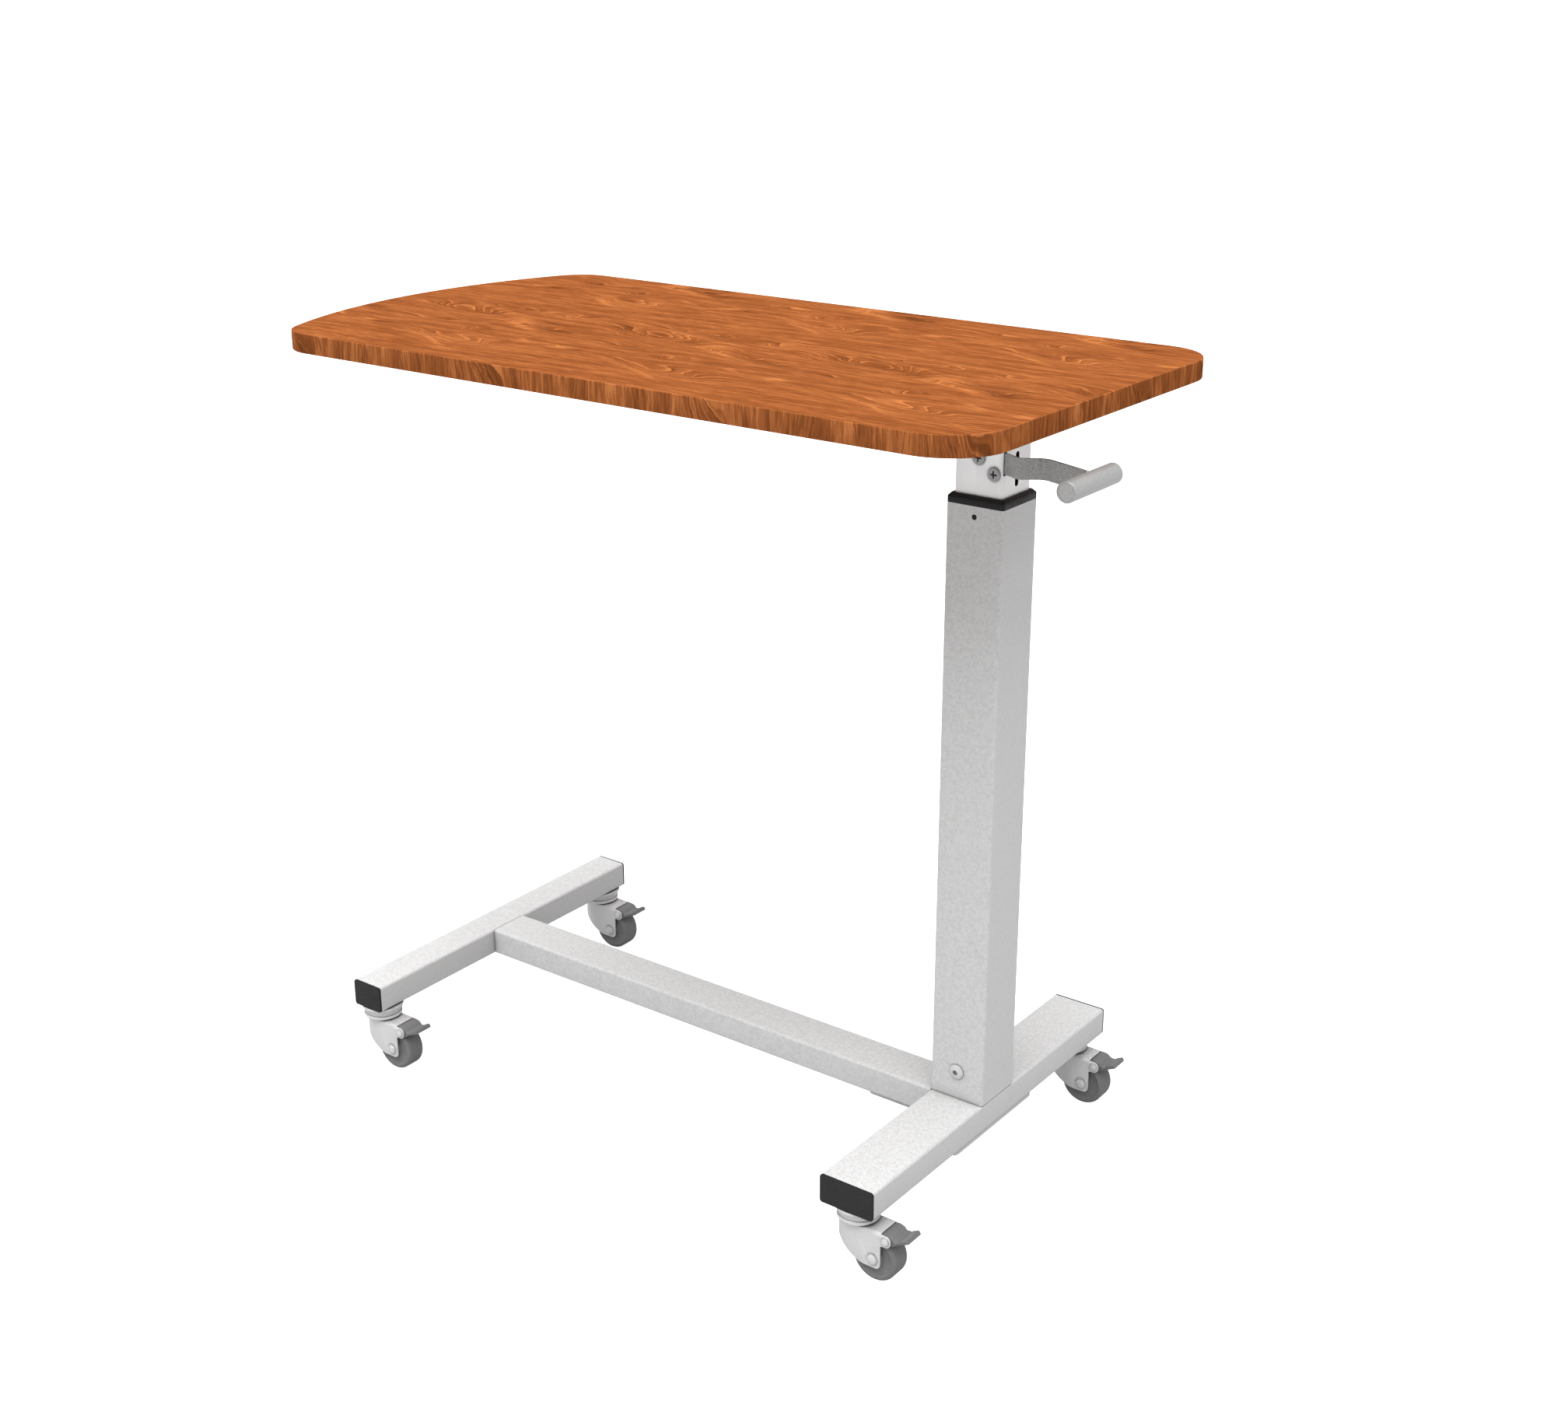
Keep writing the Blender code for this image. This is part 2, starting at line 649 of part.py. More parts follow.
def make_release_head(lift, materials):
    """Block clamped on the rod's end, with a pocket for the lever's tongue."""
    x, y, height = HEAD_BLOCK[0] / 2, HEAD_BLOCK[1] / 2, HEAD_BLOCK[2]
    top = HEAD_BLOCK_BOTTOM + height
    head = add_object(
        "release_head", box((-x, -y, HEAD_BLOCK_BOTTOM), (x, y, top)), materials["steel"], lift
    )
    cut(
        head,
        rod(ROD_RADIUS + GAP, HEAD_BLOCK_BOTTOM - 0.01, ROD_TOP + 0.002),
        box((*POCKET[0], ROD_TOP + GAP), (*POCKET[1], ROD_TOP + POCKET[2])),
        rod(TUBE_BOLT + GAP, -INNER_TUBE, INNER_TUBE, "Y", (0, 0, HEAD_BOLT_Z)),
    )


def make_tube_bolt(name, x, z, lift, materials):
    """Pan-head bolt through both sides of the inner tube, with its nut."""
    face = INNER_TUBE / 2 + GAP
    head = [(0, face + 0.0034), (TUBE_BOLT_HEAD * 0.6, face + 0.0032)]
    head += [(TUBE_BOLT_HEAD * 0.9, face + 0.0024), (TUBE_BOLT_HEAD, face + 0.001)]
    profile = head + [(TUBE_BOLT_HEAD, face), (TUBE_BOLT, face)]
    profile += [(TUBE_BOLT, -face - 0.006), (0, -face - 0.006)]
    shape = turned(profile, "Y", ROUND, (x, 0, z))
    add_object(f"{name}_bolt", shape, materials["zinc"], lift)
    hexagon = arc((x, z), NUT_RADIUS, 0, 300, 5)
    nut = add_object(
        f"{name}_nut", prism(hexagon, -face - NUT_HEIGHT, -face, "Y"), materials["zinc"], lift
    )
    cut(nut, rod(TUBE_BOLT + GAP, -INNER_TUBE, 0, "Y", (x, 0, z)))


def make_lever(lever, materials):
    """Bent steel strip: hub and tongue inside the tube, S-bend and round grip outside."""
    start = (STRIP_INNER_END - PIVOT_X, STRIP_Y)
    bends = [(x - PIVOT_X, y, radius) for x, y, radius in STRIP_BENDS]
    path = bent_path(start, bends, (GRIP_X - PIVOT_X, GRIP_Y))
    outline = thicken(path, STRIP_THICKNESS)
    shape = prism(outline, STRIP_LOW - PIVOT_Z, STRIP_HIGH - PIVOT_Z)
    strip = add_object("lever_strip", shape, materials["steel"], lever)
    near, far = STRIP_Y - STRIP_THICKNESS / 2, STRIP_Y + STRIP_THICKNESS / 2
    combine(strip, rod(LEVER_HUB, -far, -near, "Y"), "UNION")
    tongue_low = TONGUE_Z - PIVOT_Z
    tongue = box(
        (TONGUE_ENDS[0] - PIVOT_X, near + 0.001, tongue_low),
        (TONGUE_ENDS[1] - PIVOT_X, TONGUE_REACH, tongue_low + TONGUE_THICKNESS),
    )
    combine(strip, tongue, "UNION")
    grip_place = (GRIP_X - PIVOT_X, 0, GRIP_Z - PIVOT_Z)
    cut(
        strip,
        rod(running_bore(TUBE_BOLT), -INNER_TUBE, INNER_TUBE, "Y"),
        rod(GRIP_RADIUS + GAP, -0.1, 0.1, "Y", grip_place, WHEEL_SIDES),
    )
    half, bevel = GRIP_LENGTH / 2, 0.0010
    end = [(0, half), (GRIP_RADIUS - bevel, half), (GRIP_RADIUS, half - bevel)]
    shape = turned(end + flipped(end), "Y", WHEEL_SIDES)
    place = (GRIP_X - PIVOT_X, GRIP_Y, GRIP_Z - PIVOT_Z)
    add_object("lever_grip", shape, materials["grip"], lever, place)


# ---------------------------------------------------------------- casters
def make_race(prefix, swivel_axis, materials):
    """Stem, upper race and kingpin in one, fixed in the bar."""
    head_top = FORK_TOP - FORK_ROOF - GAP
    profile = [
        (0, STEM_TOP),
        (STEM_RADIUS, STEM_TOP),
        (STEM_RADIUS, BAR_BOTTOM - GAP),
        (RACE_RADIUS, BAR_BOTTOM - GAP),
        (RACE_RADIUS, BAR_BOTTOM - RACE_RIM),
        (RACE_RADIUS - RACE_TAPER, CUP_TOP + GAP),
        (KINGPIN_RADIUS, CUP_TOP + GAP),
        (KINGPIN_RADIUS, head_top),
        (KINGPIN_RADIUS + 0.003, head_top),
        (KINGPIN_RADIUS + 0.002, head_top - KINGPIN_HEAD),
        (0, head_top - KINGPIN_HEAD),
    ]
    add_object(f"{prefix}_stem_race", turned(profile), materials["zinc"], swivel_axis)


def fork_plan(inset, rear, steps=12):
    """Outline of the fork from above: flat sides and an elliptic front."""
    half, nose = FORK_HALF_WIDTH - inset, FORK_NOSE - inset
    angles = [math.pi * (0.5 + i / steps) for i in range(steps + 1)]
    front = [(FORK_SIDE_END + nose * math.cos(a), half * math.sin(a)) for a in angles]
    return front + [(rear, -half), (rear, half)]


def fork_side():
    """Side outline of the fork: sloping front, axle corner, notch and the pedal's lug."""
    px, pz = PEDAL_PIVOT
    outline = [(-0.024, 0.070), (-0.024, 0.0370), (-0.0195, 0.0350), (-0.0165, 0.0332)]
    outline += [(-0.0073, 0.0264), (0.0010, 0.0215), (0.0095, 0.0172), (0.0150, 0.0160)]
    outline += arc((0.0285, 0.0210), 0.005, 270, 360, 4)
    outline += [(0.0335, 0.0425)]
    outline += arc((px, pz), LUG_RADIUS, 270, 450, 8)
    outline += [(FORK_REAR, pz + LUG_RADIUS), (FORK_REAR, 0.070)]
    return outline


def make_fork(prefix, swivel_axis, materials):
    """Pressed fork: a round-fronted U in plan, its side outline, and the bearing cup on top."""
    inside = FORK_HALF_WIDTH - FORK_SHEET
    shape = prism(fork_plan(0, 0.050), 0.010, FORK_TOP)
    fork = add_object(f"{prefix}_fork", shape, materials["fork"], swivel_axis)
    cut(
        fork,
        prism(fork_plan(FORK_SHEET, 0.060), 0.000, FORK_TOP - FORK_ROOF),
        box((FORK_REAR, -inside, 0.030), (0.060, inside, 0.070)),
    )
    combine(fork, prism(fork_side(), -0.030, 0.030, "Y"), "INTERSECT")
    cup = [(0, CUP_TOP), (CUP_RADIUS - 0.0015, CUP_TOP), (CUP_RADIUS, CUP_TOP - 0.0015)]
    cup += [(CUP_RADIUS, CUP_TOP - 0.0032), (CUP_RADIUS - 0.0015, FORK_TOP + 0.0006)]
    cup += [(0.0135, FORK_TOP + 0.0003), (0.0125, FORK_TOP - 0.001), (0, FORK_TOP - 0.001)]
    combine(fork, turned(cup), "UNION")
    pivot = (PEDAL_PIVOT[0], 0, PEDAL_PIVOT[1])
    cut(
        fork,
        rod(running_bore(KINGPIN_RADIUS), 0.030, 0.080),
        rod(running_bore(AXLE_RADIUS), -0.03, 0.03, "Y", (TRAIL, 0, WHEEL_RADIUS)),
        rod(running_bore(PEDAL_PIN, SMALL), -0.03, 0.03, "Y", pivot, SMALL),
    )


def make_wheel(prefix, swivel_axis, materials):
    shoulder = WHEEL_HALF_WIDTH - TREAD_HALF_WIDTH
    side = [(running_bore(AXLE_RADIUS), 0.0118), (0.0075, 0.0118), (0.0085, 0.0102)]
    side += [(0.0180, 0.0102), (0.0203, WHEEL_HALF_WIDTH)]
    for i in range(1, 4):
        angle = math.pi / 2 * (1 - i / 3)
        drop = 0.0042 * (1 - math.cos(angle))
        side.append((WHEEL_RADIUS - drop, TREAD_HALF_WIDTH + shoulder * math.sin(angle)))
    shape = turned(side + flipped(side), "Y", WHEEL_SIDES)
    add_object(f"{prefix}_wheel", shape, materials["tyre"], swivel_axis, (TRAIL, 0, WHEEL_RADIUS))


def make_rivet(name, sizes, place, swivel_axis, materials):
    """Rivet through both fork plates, domed at each end."""
    radius, head, height, sides = sizes
    face = FORK_HALF_WIDTH + GAP
    end = dome(head, height, face) + [(radius, face)]
    shape = turned(end + flipped(end), "Y", sides)
    add_object(name, shape, materials["zinc"], swivel_axis, place)


def pedal_side():
    """Side outline of the brake pedal about its pivot: hood, raised toe, shoe and hub."""
    px, pz = PEDAL_PIVOT
    points = [(0.0345, 0.0500), (0.0345, 0.0555), (0.0430, 0.0556), (0.0468, 0.0536)]
    points += [(0.0498, 0.0520), (0.0525, 0.0530), (0.0606, 0.0573), (0.0629, 0.0538)]
    points += [(0.0575, 0.0513), (0.0490, 0.0478), (0.0450, 0.0449), (0.0428, 0.0444)]
    hub = arc((px, pz), 0.0028, 300, 200, 5)
    return [(x - px, z - pz) for x, z in points + hub]


def make_pedal(prefix, swivel_axis, materials):
    shape = prism(pedal_side(), -PEDAL_HALF_WIDTH, PEDAL_HALF_WIDTH, "Y")
    place = (PEDAL_PIVOT[0], 0, PEDAL_PIVOT[1])
    pedal = add_object(f"{prefix}_pedal", shape, materials["pedal"], swivel_axis, place)
    cut(pedal, rod(running_bore(PEDAL_PIN, SMALL), -0.03, 0.03, "Y", sides=SMALL))


def make_caster(prefix, location, base, materials):
    swivel_axis = add_empty(f"{prefix}_swivel_axis", location, base)
    make_race(prefix, swivel_axis, materials)
    make_fork(prefix, swivel_axis, materials)
    make_wheel(prefix, swivel_axis, materials)
    axle = (TRAIL, 0, WHEEL_RADIUS)
    sizes = (AXLE_RADIUS, AXLE_HEAD, AXLE_DOME, ROUND)
    make_rivet(f"{prefix}_axle", sizes, axle, swivel_axis, materials)
    make_pedal(prefix, swivel_axis, materials)
    pivot = (PEDAL_PIVOT[0], 0, PEDAL_PIVOT[1])
    sizes = (PEDAL_PIN, PEDAL_PIN_HEAD, PEDAL_PIN_DOME, SMALL)
    make_rivet(f"{prefix}_pedal_pin", sizes, pivot, swivel_axis, materials)


# ---------------------------------------------------------------- assembly
def make_materials():
    return {
        "white": make_material("powder_coated_steel", (0.80, 0.80, 0.80), 0.45),
        "cap": make_material("cap_plastic", (0.045, 0.045, 0.045), 0.5),
        "black": make_material("black_plastic", (0.028, 0.028, 0.026), 0.45),
        "wood": make_material("laminate_top", (0.52, 0.13, 0.04), 0.45),
        "wood_edge": make_material("laminate_edge", (0.40, 0.10, 0.035), 0.5),
        "steel": make_material("bare_steel", (0.25, 0.25, 0.24), 0.5, 0.6),
        "grip": make_material("grip_metal", (0.50, 0.50, 0.49), 0.4, 0.3),
        "zinc": make_material("zinc_plate", (0.55, 0.57, 0.58), 0.35, 0.8),
        "fork": make_material("fork_steel", (0.62, 0.62, 0.61), 0.45, 0.4),
        "tyre": make_material("grey_rubber", (0.13, 0.13, 0.13), 0.6),
        "pedal": make_material("pedal_plastic", (0.12, 0.12, 0.12), 0.5),
    }


def make_table():
    materials = make_materials()
    base = add_empty("base_axis", (COLUMN_X, 0, 0))
    lift = add_empty("lift_axis", (COLUMN_X, 0, 0))
    lever = add_empty("lever_axis", (PIVOT_X, 0, PIVOT_Z), lift)
    bars = (
        ("column_foot_bar", COLUMN_BAR_WIDTH, COLUMN_BAR_LENGTH, (0.0, 0.0)),
        ("free_foot_bar", FREE_BAR_WIDTH, FREE_BAR_LENGTH, (FREE_BAR_X, RAIL_Y)),
    )
    for name, width, length, place in bars:
        make_foot_bar(name, width, length, place, base, materials)
        for side, end in ((-1, "near"), (1, "far")):
            prefix = f"caster_{name.split('_')[0]}_{end}"
            y = place[1] + side * (length / 2 - CASTER_INSET)
            make_caster(prefix, (place[0], y, 0), base, materials)
    make_base_rail(base, materials)
    make_base_plate(base, materials)
    make_column_tube(base, materials)
    make_collar(base, materials)
    make_collar_pin(base, materials)
    make_base_bolts(base, materials)
    make_anchor_post(base, materials)
    make_gas_spring_cylinder(base, materials)
    make_inner_tube(lift, materials)
    make_glide(lift, materials)
    make_top_support(lift, materials)
    make_top_screws(lift, materials)
    make_tabletop(lift, materials)
    make_gas_spring_rod(lift, materials)
    make_release_pin(lift, materials)
    make_release_head(lift, materials)
    make_tube_bolt("release_head", 0.0, HEAD_BOLT_Z, lift, materials)
    make_tube_bolt("lever_pivot", PIVOT_X, PIVOT_Z, lift, materials)
    make_lever(lever, materials)


clear_scene()
make_table()
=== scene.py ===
"""Overbed table: finished surfaces and fine shapes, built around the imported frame.

Lengths are metres in the frame's own coordinates: +X runs to the column end and +Z is up.
"""

import json
from math import atan2, copysign, cos, degrees, pi, radians, sin, sqrt, tan

import bmesh
import bpy
from mathutils import Matrix, Vector


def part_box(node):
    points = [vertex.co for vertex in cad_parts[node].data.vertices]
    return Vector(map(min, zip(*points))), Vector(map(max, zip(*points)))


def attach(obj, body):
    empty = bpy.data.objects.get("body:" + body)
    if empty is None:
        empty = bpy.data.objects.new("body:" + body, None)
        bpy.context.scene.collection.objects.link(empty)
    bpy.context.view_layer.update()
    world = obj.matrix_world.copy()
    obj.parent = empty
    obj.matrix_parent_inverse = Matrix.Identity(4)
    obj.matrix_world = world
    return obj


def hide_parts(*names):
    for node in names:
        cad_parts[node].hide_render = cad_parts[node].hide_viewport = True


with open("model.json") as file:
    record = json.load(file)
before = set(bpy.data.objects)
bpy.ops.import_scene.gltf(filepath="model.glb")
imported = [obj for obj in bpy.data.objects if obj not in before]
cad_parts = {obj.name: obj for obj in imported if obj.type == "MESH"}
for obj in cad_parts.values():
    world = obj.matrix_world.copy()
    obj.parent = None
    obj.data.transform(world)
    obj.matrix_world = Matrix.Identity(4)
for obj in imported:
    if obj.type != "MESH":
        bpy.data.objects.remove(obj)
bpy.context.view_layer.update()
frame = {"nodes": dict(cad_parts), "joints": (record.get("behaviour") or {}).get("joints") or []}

JOINTS = {joint["name"]: joint for joint in frame["joints"]}
CASTERS = ("column_near", "column_far", "free_near", "free_far")
FINE = 64  # sides of a turned piece
CORNER_STEPS = 8
THROUGH = 0.05  # half length of a cutter that goes right through a piece
SMOOTH_ANGLE = radians(32)  # edges sharper than this stay crisp
ALONG = {
    "X": Matrix.Rotation(pi / 2, 3, "Y"),
    "Y": Matrix.Rotation(pi / 2, 3, "X"),
    "Z": Matrix.Identity(3),
}

# Sheet metal and fits, as in the frame
GAP = 0.0003
WALL = 0.002
ARM_WALL = 0.0015
TUBE_CORNER = 0.003


# ---- frame measures
def low(node):
    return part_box(node)[0]


def high(node):
    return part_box(node)[1]


def middle(node):
    return (low(node) + high(node)) / 2


def size(node):
    return high(node) - low(node)


# ---- outlines and solids
def arc(centre, radius, start, end, steps):
    """Points on an arc, from one angle to another in degrees, both ends included."""
    angles = [radians(start + (end - start) * i / steps) for i in range(steps + 1)]
    return [(centre[0] + radius * cos(a), centre[1] + radius * sin(a)) for a in angles]


def quarter(steps):
    """Angles of a quarter turn in radians, both ends included."""
    return [pi / 2 * i / steps for i in range(steps + 1)]


def rounding(radius, steps):
    """Insets and depths of a rounded edge, from the face it leaves to the side it meets."""
    return [(radius * (1 - sin(a)), radius * (1 - cos(a))) for a in quarter(steps)]


def rounded_rectangle(width, height, radius, steps=CORNER_STEPS):
    points = []
    for start, (sx, sy) in zip((0, 90, 180, 270), ((1, 1), (-1, 1), (-1, -1), (1, -1))):
        centre = (sx * (width / 2 - radius), sy * (height / 2 - radius))
        points += arc(centre, radius, start, start + 90, steps)
    return points


def loft(loops, axis="Z", ring=False):
    """Joins loops of equal length into a solid, capped at both ends or turned back on itself."""
    shape = bmesh.new()
    rows = [[shape.verts.new(ALONG[axis] @ Vector(p)) for p in loop] for loop in loops]
    count = len(rows[0])
    pairs = list(zip(rows, rows[1:]))
    if ring:
        pairs.append((rows[-1], rows[0]))
    else:
        shape.faces.new(rows[0])
        shape.faces.new(rows[-1])
    for lower, upper in pairs:
        for i in range(count):
            j = (i + 1) % count
            shape.faces.new((lower[i], lower[j], upper[j], upper[i]))
    return shape


def stack(rows, axis="Z", ring=False):
    """Loft through flat outlines, each with its distance along the axis."""
    return loft([[(x, y, z) for x, y in outline] for outline, z in rows], axis, ring)


def prism(outline, start, end, axis="Z"):
    return stack([(outline, start), (outline, end)], axis)


def box(corner_a, corner_b):
    (x0, y0, z0), (x1, y1, z1) = corner_a, corner_b
    return prism([(x0, y0), (x1, y0), (x1, y1), (x0, y1)], z0, z1)


def tube(width, height, wall, start, end, axis):
    """Open rectangular tube with round corners."""
    outer = rounded_rectangle(width, height, TUBE_CORNER)
    inner = rounded_rectangle(width - 2 * wall, height - 2 * wall, TUBE_CORNER - wall)
    return stack([(outer, start), (outer, end), (inner, end), (inner, start)], axis, True)


def turned(profile, axis="Z", sides=FINE, centre=(0, 0, 0)):
    """Spins (radius, distance along the axis) points; open profiles that leave the axis make a ring."""
    shape = bmesh.new()
    place = Matrix.Translation(centre) @ ALONG[axis].to_4x4()
    rows = []
    for radius, along in profile:
        spokes = [2 * pi * i / sides for i in range(sides if radius > 0 else 1)]
        points = [(radius * cos(a), radius * sin(a), along) for a in spokes]
        rows.append([shape.verts.new(place @ Vector(p)) for p in points])
    pairs = list(zip(rows, rows[1:]))
    if profile[0][0] > 0:
        pairs.append((rows[-1], rows[0]))
    for a, b in pairs:
        for i in range(sides):
            j = (i + 1) % sides
            corners = [a[i % len(a)], a[j % len(a)], b[j % len(b)], b[i % len(b)]]
            shape.faces.new(list(dict.fromkeys(corners)))
    return shape


def rod(radius, start, end, axis="Z", centre=(0, 0, 0), sides=FINE):
    return turned([(0, start), (radius, start), (radius, end), (0, end)], axis, sides, centre)


def bore(radius, x=0, z=0):
    """Cutter along Y that goes right through a piece."""
    return rod(radius, -THROUGH, THROUGH, "Y", (x, 0, z))


def dome(radius, height, base):
    """Profile of a domed head, from its tip at base + height to its rim at base."""
    return [(radius * sin(a), base + height * cos(a)) for a in quarter(8)]


def flipped(profile):
    return [(radius, -along) for radius, along in reversed(profile)]


def between(a, b, c, d, share):
    """Catmull-Rom value at a share of the way from b to c."""
    squared = (2 * a - 5 * b + 4 * c - d) * share**2
    cubed = (3 * b - a - 3 * c + d) * share**3
    return 0.5 * (2 * b + (c - a) * share + squared + cubed)


def smooth_line(points, steps):
    """Smooth curve through points of any dimension."""
    ends = [points[0]] + list(points) + [points[-1]]
    line = []
    for four_points in zip(ends, ends[1:], ends[2:], ends[3:]):
        for i in range(steps):
            line.append(tuple(between(*values, i / steps) for values in zip(*four_points)))
    return line + [tuple(points[-1])]


def bent_path(start, bends, end):
    """Centre line through bend corners, each (x, y, radius), rounded to its radius."""
    steps = 12
    points = [start]
    stops = [start] + [bend[:2] for bend in bends] + [end]
    for before, corner, after, bend in zip(stops, stops[1:], stops[2:], bends):
        here = Vector(corner)
        back = (Vector(before) - here).normalized()
        ahead = (Vector(after) - here).normalized()
        half = back.angle(ahead) / 2
        centre = here + (back + ahead).normalized() * bend[2] / sin(half)
        first = here + back * bend[2] / tan(half) - centre
        turn = copysign(pi - 2 * half, first.cross(ahead))
        for i in range(steps + 1):
            points.append(tuple(centre + Matrix.Rotation(turn * i / steps, 2) @ first))
    points.append(end)
    return points


def thicken(path, thickness):
    """Outline of a strip of even thickness about an open path."""
    left, right = [], []
    for i, point in enumerate(path):
        before = Vector(path[max(i - 1, 0)])
        after = Vector(path[min(i + 1, len(path) - 1)])
        along = (after - before).normalized()
        side = Vector((-along.y, along.x)) * thickness / 2
        left.append(tuple(Vector(point) + side))
        right.append(tuple(Vector(point) - side))
    return left + right[::-1]


# ---- pieces
def new_object(name, shape):
    bmesh.ops.recalc_face_normals(shape, faces=shape.faces)
    mesh = bpy.data.meshes.new(name)
    shape.to_mesh(mesh)
    shape.free()
    obj = bpy.data.objects.new(name, mesh)
    bpy.context.scene.collection.objects.link(obj)
    return obj


def shaped_mesh(name, shape, changes=(), edge=0.0):
    """Mesh of a shape after its boolean changes, each (operation, shape), and a rounding of its edges."""
    obj = new_object(name, shape)
    helpers = []
    for operation, helper_shape in changes:
        helper = new_object(f"{name}_helper", helper_shape)
        modifier = obj.modifiers.new("Change", "BOOLEAN")
        modifier.operation = operation
        modifier.solver = "EXACT"
        modifier.object = helper
        helpers.append(helper)
    if edge:
        bevel = obj.modifiers.new("Edge", "BEVEL")
        bevel.width = edge
        bevel.segments = 2
        bevel.limit_method = "ANGLE"
        bevel.angle_limit = SMOOTH_ANGLE
    depsgraph = bpy.context.evaluated_depsgraph_get()
    mesh = bpy.data.meshes.new_from_object(obj.evaluated_get(depsgraph))
    for used in [obj] + helpers:
        bpy.data.objects.remove(used, do_unlink=True)
    mesh.shade_smooth()
    mesh.set_sharp_from_angle(angle=SMOOTH_ANGLE)
    return mesh


def add_piece(name, mesh, slot, body, node, place):
    """Shows a mesh as a piece that takes a slot's material, rides on a body and stands for a CAD node."""
    obj = bpy.data.objects.new(name, mesh)
    obj.location = place
    if not mesh.materials:
        mesh.materials.append(MATERIALS[slot])
    bpy.context.scene.collection.objects.link(obj)
    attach(obj, body)
    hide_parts(node)


def build(node, shape, slot, body, changes=(), edge=0.0, place=(0, 0, 0)):
    """One finished piece for one CAD node."""
    mesh = shaped_mesh(f"{node}_mesh", shape, changes, edge)
    add_piece(f"{node}_fine", mesh, slot, body, node, place)


def cuts(*shapes):
    return [("DIFFERENCE", shape) for shape in shapes]


# ---- material nodes
class Recipe:
    """One material's nodes, with short calls for the ones used here."""

    def __init__(self, name):
        self.material = bpy.data.materials.new(name)
        self.material.use_nodes = True
        self.nodes = self.material.node_tree.nodes
        self.shader = self.nodes["Principled BSDF"]

    def node(self, kind, inputs=(), **settings):
        made = self.nodes.new(f"ShaderNode{kind}")
        for key, value in settings.items():
            setattr(made, key, value)
        for key, value in dict(inputs).items():
            self.feed(made.inputs[key], value)
        return made

    def feed(self, socket, value):
        """Links another node's output, or sets a plain value, colours without their alpha."""
        if isinstance(value, bpy.types.NodeSocket):
            self.material.node_tree.links.new(value, socket)
        elif socket.type == "RGBA":
            socket.default_value = (*value, 1.0)
        else:
            socket.default_value = value

    def math(self, operation, a, b=0.0):
        return self.node("Math", {0: a, 1: b}, operation=operation).outputs[0]

    def times(self, a, b):
        return self.math("MULTIPLY", a, b)

    def vector(self, operation, a, b):
        return self.node("VectorMath", {0: a, 1: b}, operation=operation).outputs[0]

    def dot(self, a, b):
        return self.node("VectorMath", {0: a, 1: b}, operation="DOT_PRODUCT").outputs["Value"]

    def part_of(self, vector, axis):
        return self.node("SeparateXYZ", {0: vector}).outputs[axis]

    def joined(self, x, y):
        return self.node("CombineXYZ", {"X": x, "Y": y}).outputs[0]

    def normal(self):
        return self.node("NewGeometry").outputs["Normal"]

    def position(self):
        """Position on the piece in metres."""
        return self.node("TexCoord").outputs["Object"]

    def place(self):
        """Position shifted by an amount that differs from piece to piece, up to 3 m."""
        shift = self.times(self.node("ObjectInfo").outputs["Random"], 3.0)
        return self.vector("ADD", self.position(), shift)

    def stretch(self, vector, scale):
        return self.vector("MULTIPLY", vector, scale)

    def noise(self, vector, scale, detail=2.0, roughness=0.5, distortion=0.0):
        inputs = {"Vector": vector, "Scale": scale, "Detail": detail, "Roughness": roughness}
        inputs["Distortion"] = distortion
        return self.node("TexNoise", inputs).outputs["Fac"]

    def remap(self, value, start, end, low_value=0.0, high_value=1.0):
        inputs = {"Value": value, "From Min": start, "From Max": end}
        inputs.update({"To Min": low_value, "To Max": high_value})
        return self.node("MapRange", inputs, interpolation_type="SMOOTHSTEP").outputs["Result"]

    def ramp(self, value, stops):
        ramp = self.node("ValToRGB", {"Fac": value})
        elements = ramp.color_ramp.elements
        while len(elements) < len(stops):
            elements.new(1.0)
        for element, (position, colour) in zip(elements, stops):
            element.position = position
            element.color = (*colour, 1.0)
        return ramp.outputs["Color"]

    def mix(self, share, a, b):
        """Colour that goes from a to b with the share."""
        mixer = self.node("Mix", data_type="RGBA")
        sockets = {socket.name: socket for socket in mixer.inputs if socket.enabled}
        for key, value in (("Factor", share), ("A", a), ("B", b)):
            self.feed(sockets[key], value)
        return next(socket for socket in mixer.outputs if socket.enabled)

    def add_share(self, total, value, share):
        return self.math("ADD", total, self.times(value, share))

    def edges(self, radius):
        """1 on convex and concave edges, fading over the radius."""
        soft = self.node("Bevel", {"Radius": radius}, samples=4).outputs["Normal"]
        return self.remap(self.math("SUBTRACT", 1.0, self.dot(soft, self.normal())), 0.02, 0.25)

    def facing(self, along_x, along_y, upward):
        """Sum of the shares of a face that points along X or Y either way, or up."""
        normal = self.normal()
        total = self.times(self.math("MAXIMUM", self.part_of(normal, "Z"), 0.0), upward)
        for axis, share in (("X", along_x), ("Y", along_y)):
            total = self.add_share(total, self.math("ABSOLUTE", self.part_of(normal, axis)), share)
        return total

    def crevice_shade(self, reach):
        """Mask for painted shade: 1 deep in corners and joints narrower than the reach, 0 on open surfaces.
        """
        open_share = self.node("AmbientOcclusion", {"Distance": reach}, samples=6).outputs["AO"]
        return self.remap(open_share, 0.95, 0.35)

    def bump(self, height, depth, strength):
        inputs = {"Height": height, "Distance": depth, "Strength": strength}
        return self.node("Bump", inputs).outputs["Normal"]

    def finish(self, colour, roughness, metallic=0.0, normal=None, specular=0.5):
        values = {"Base Color": colour, "Roughness": roughness, "Metallic": metallic}
        values["Specular IOR Level"] = specular
        if normal is not None:
            values["Normal"] = normal
        for key, value in values.items():
            self.feed(self.shader.inputs[key], value)
        return self.material


def grey(value, blue=0.0):
    """Neutral tone, with a little more or less blue."""
    return (value, value, value + blue)


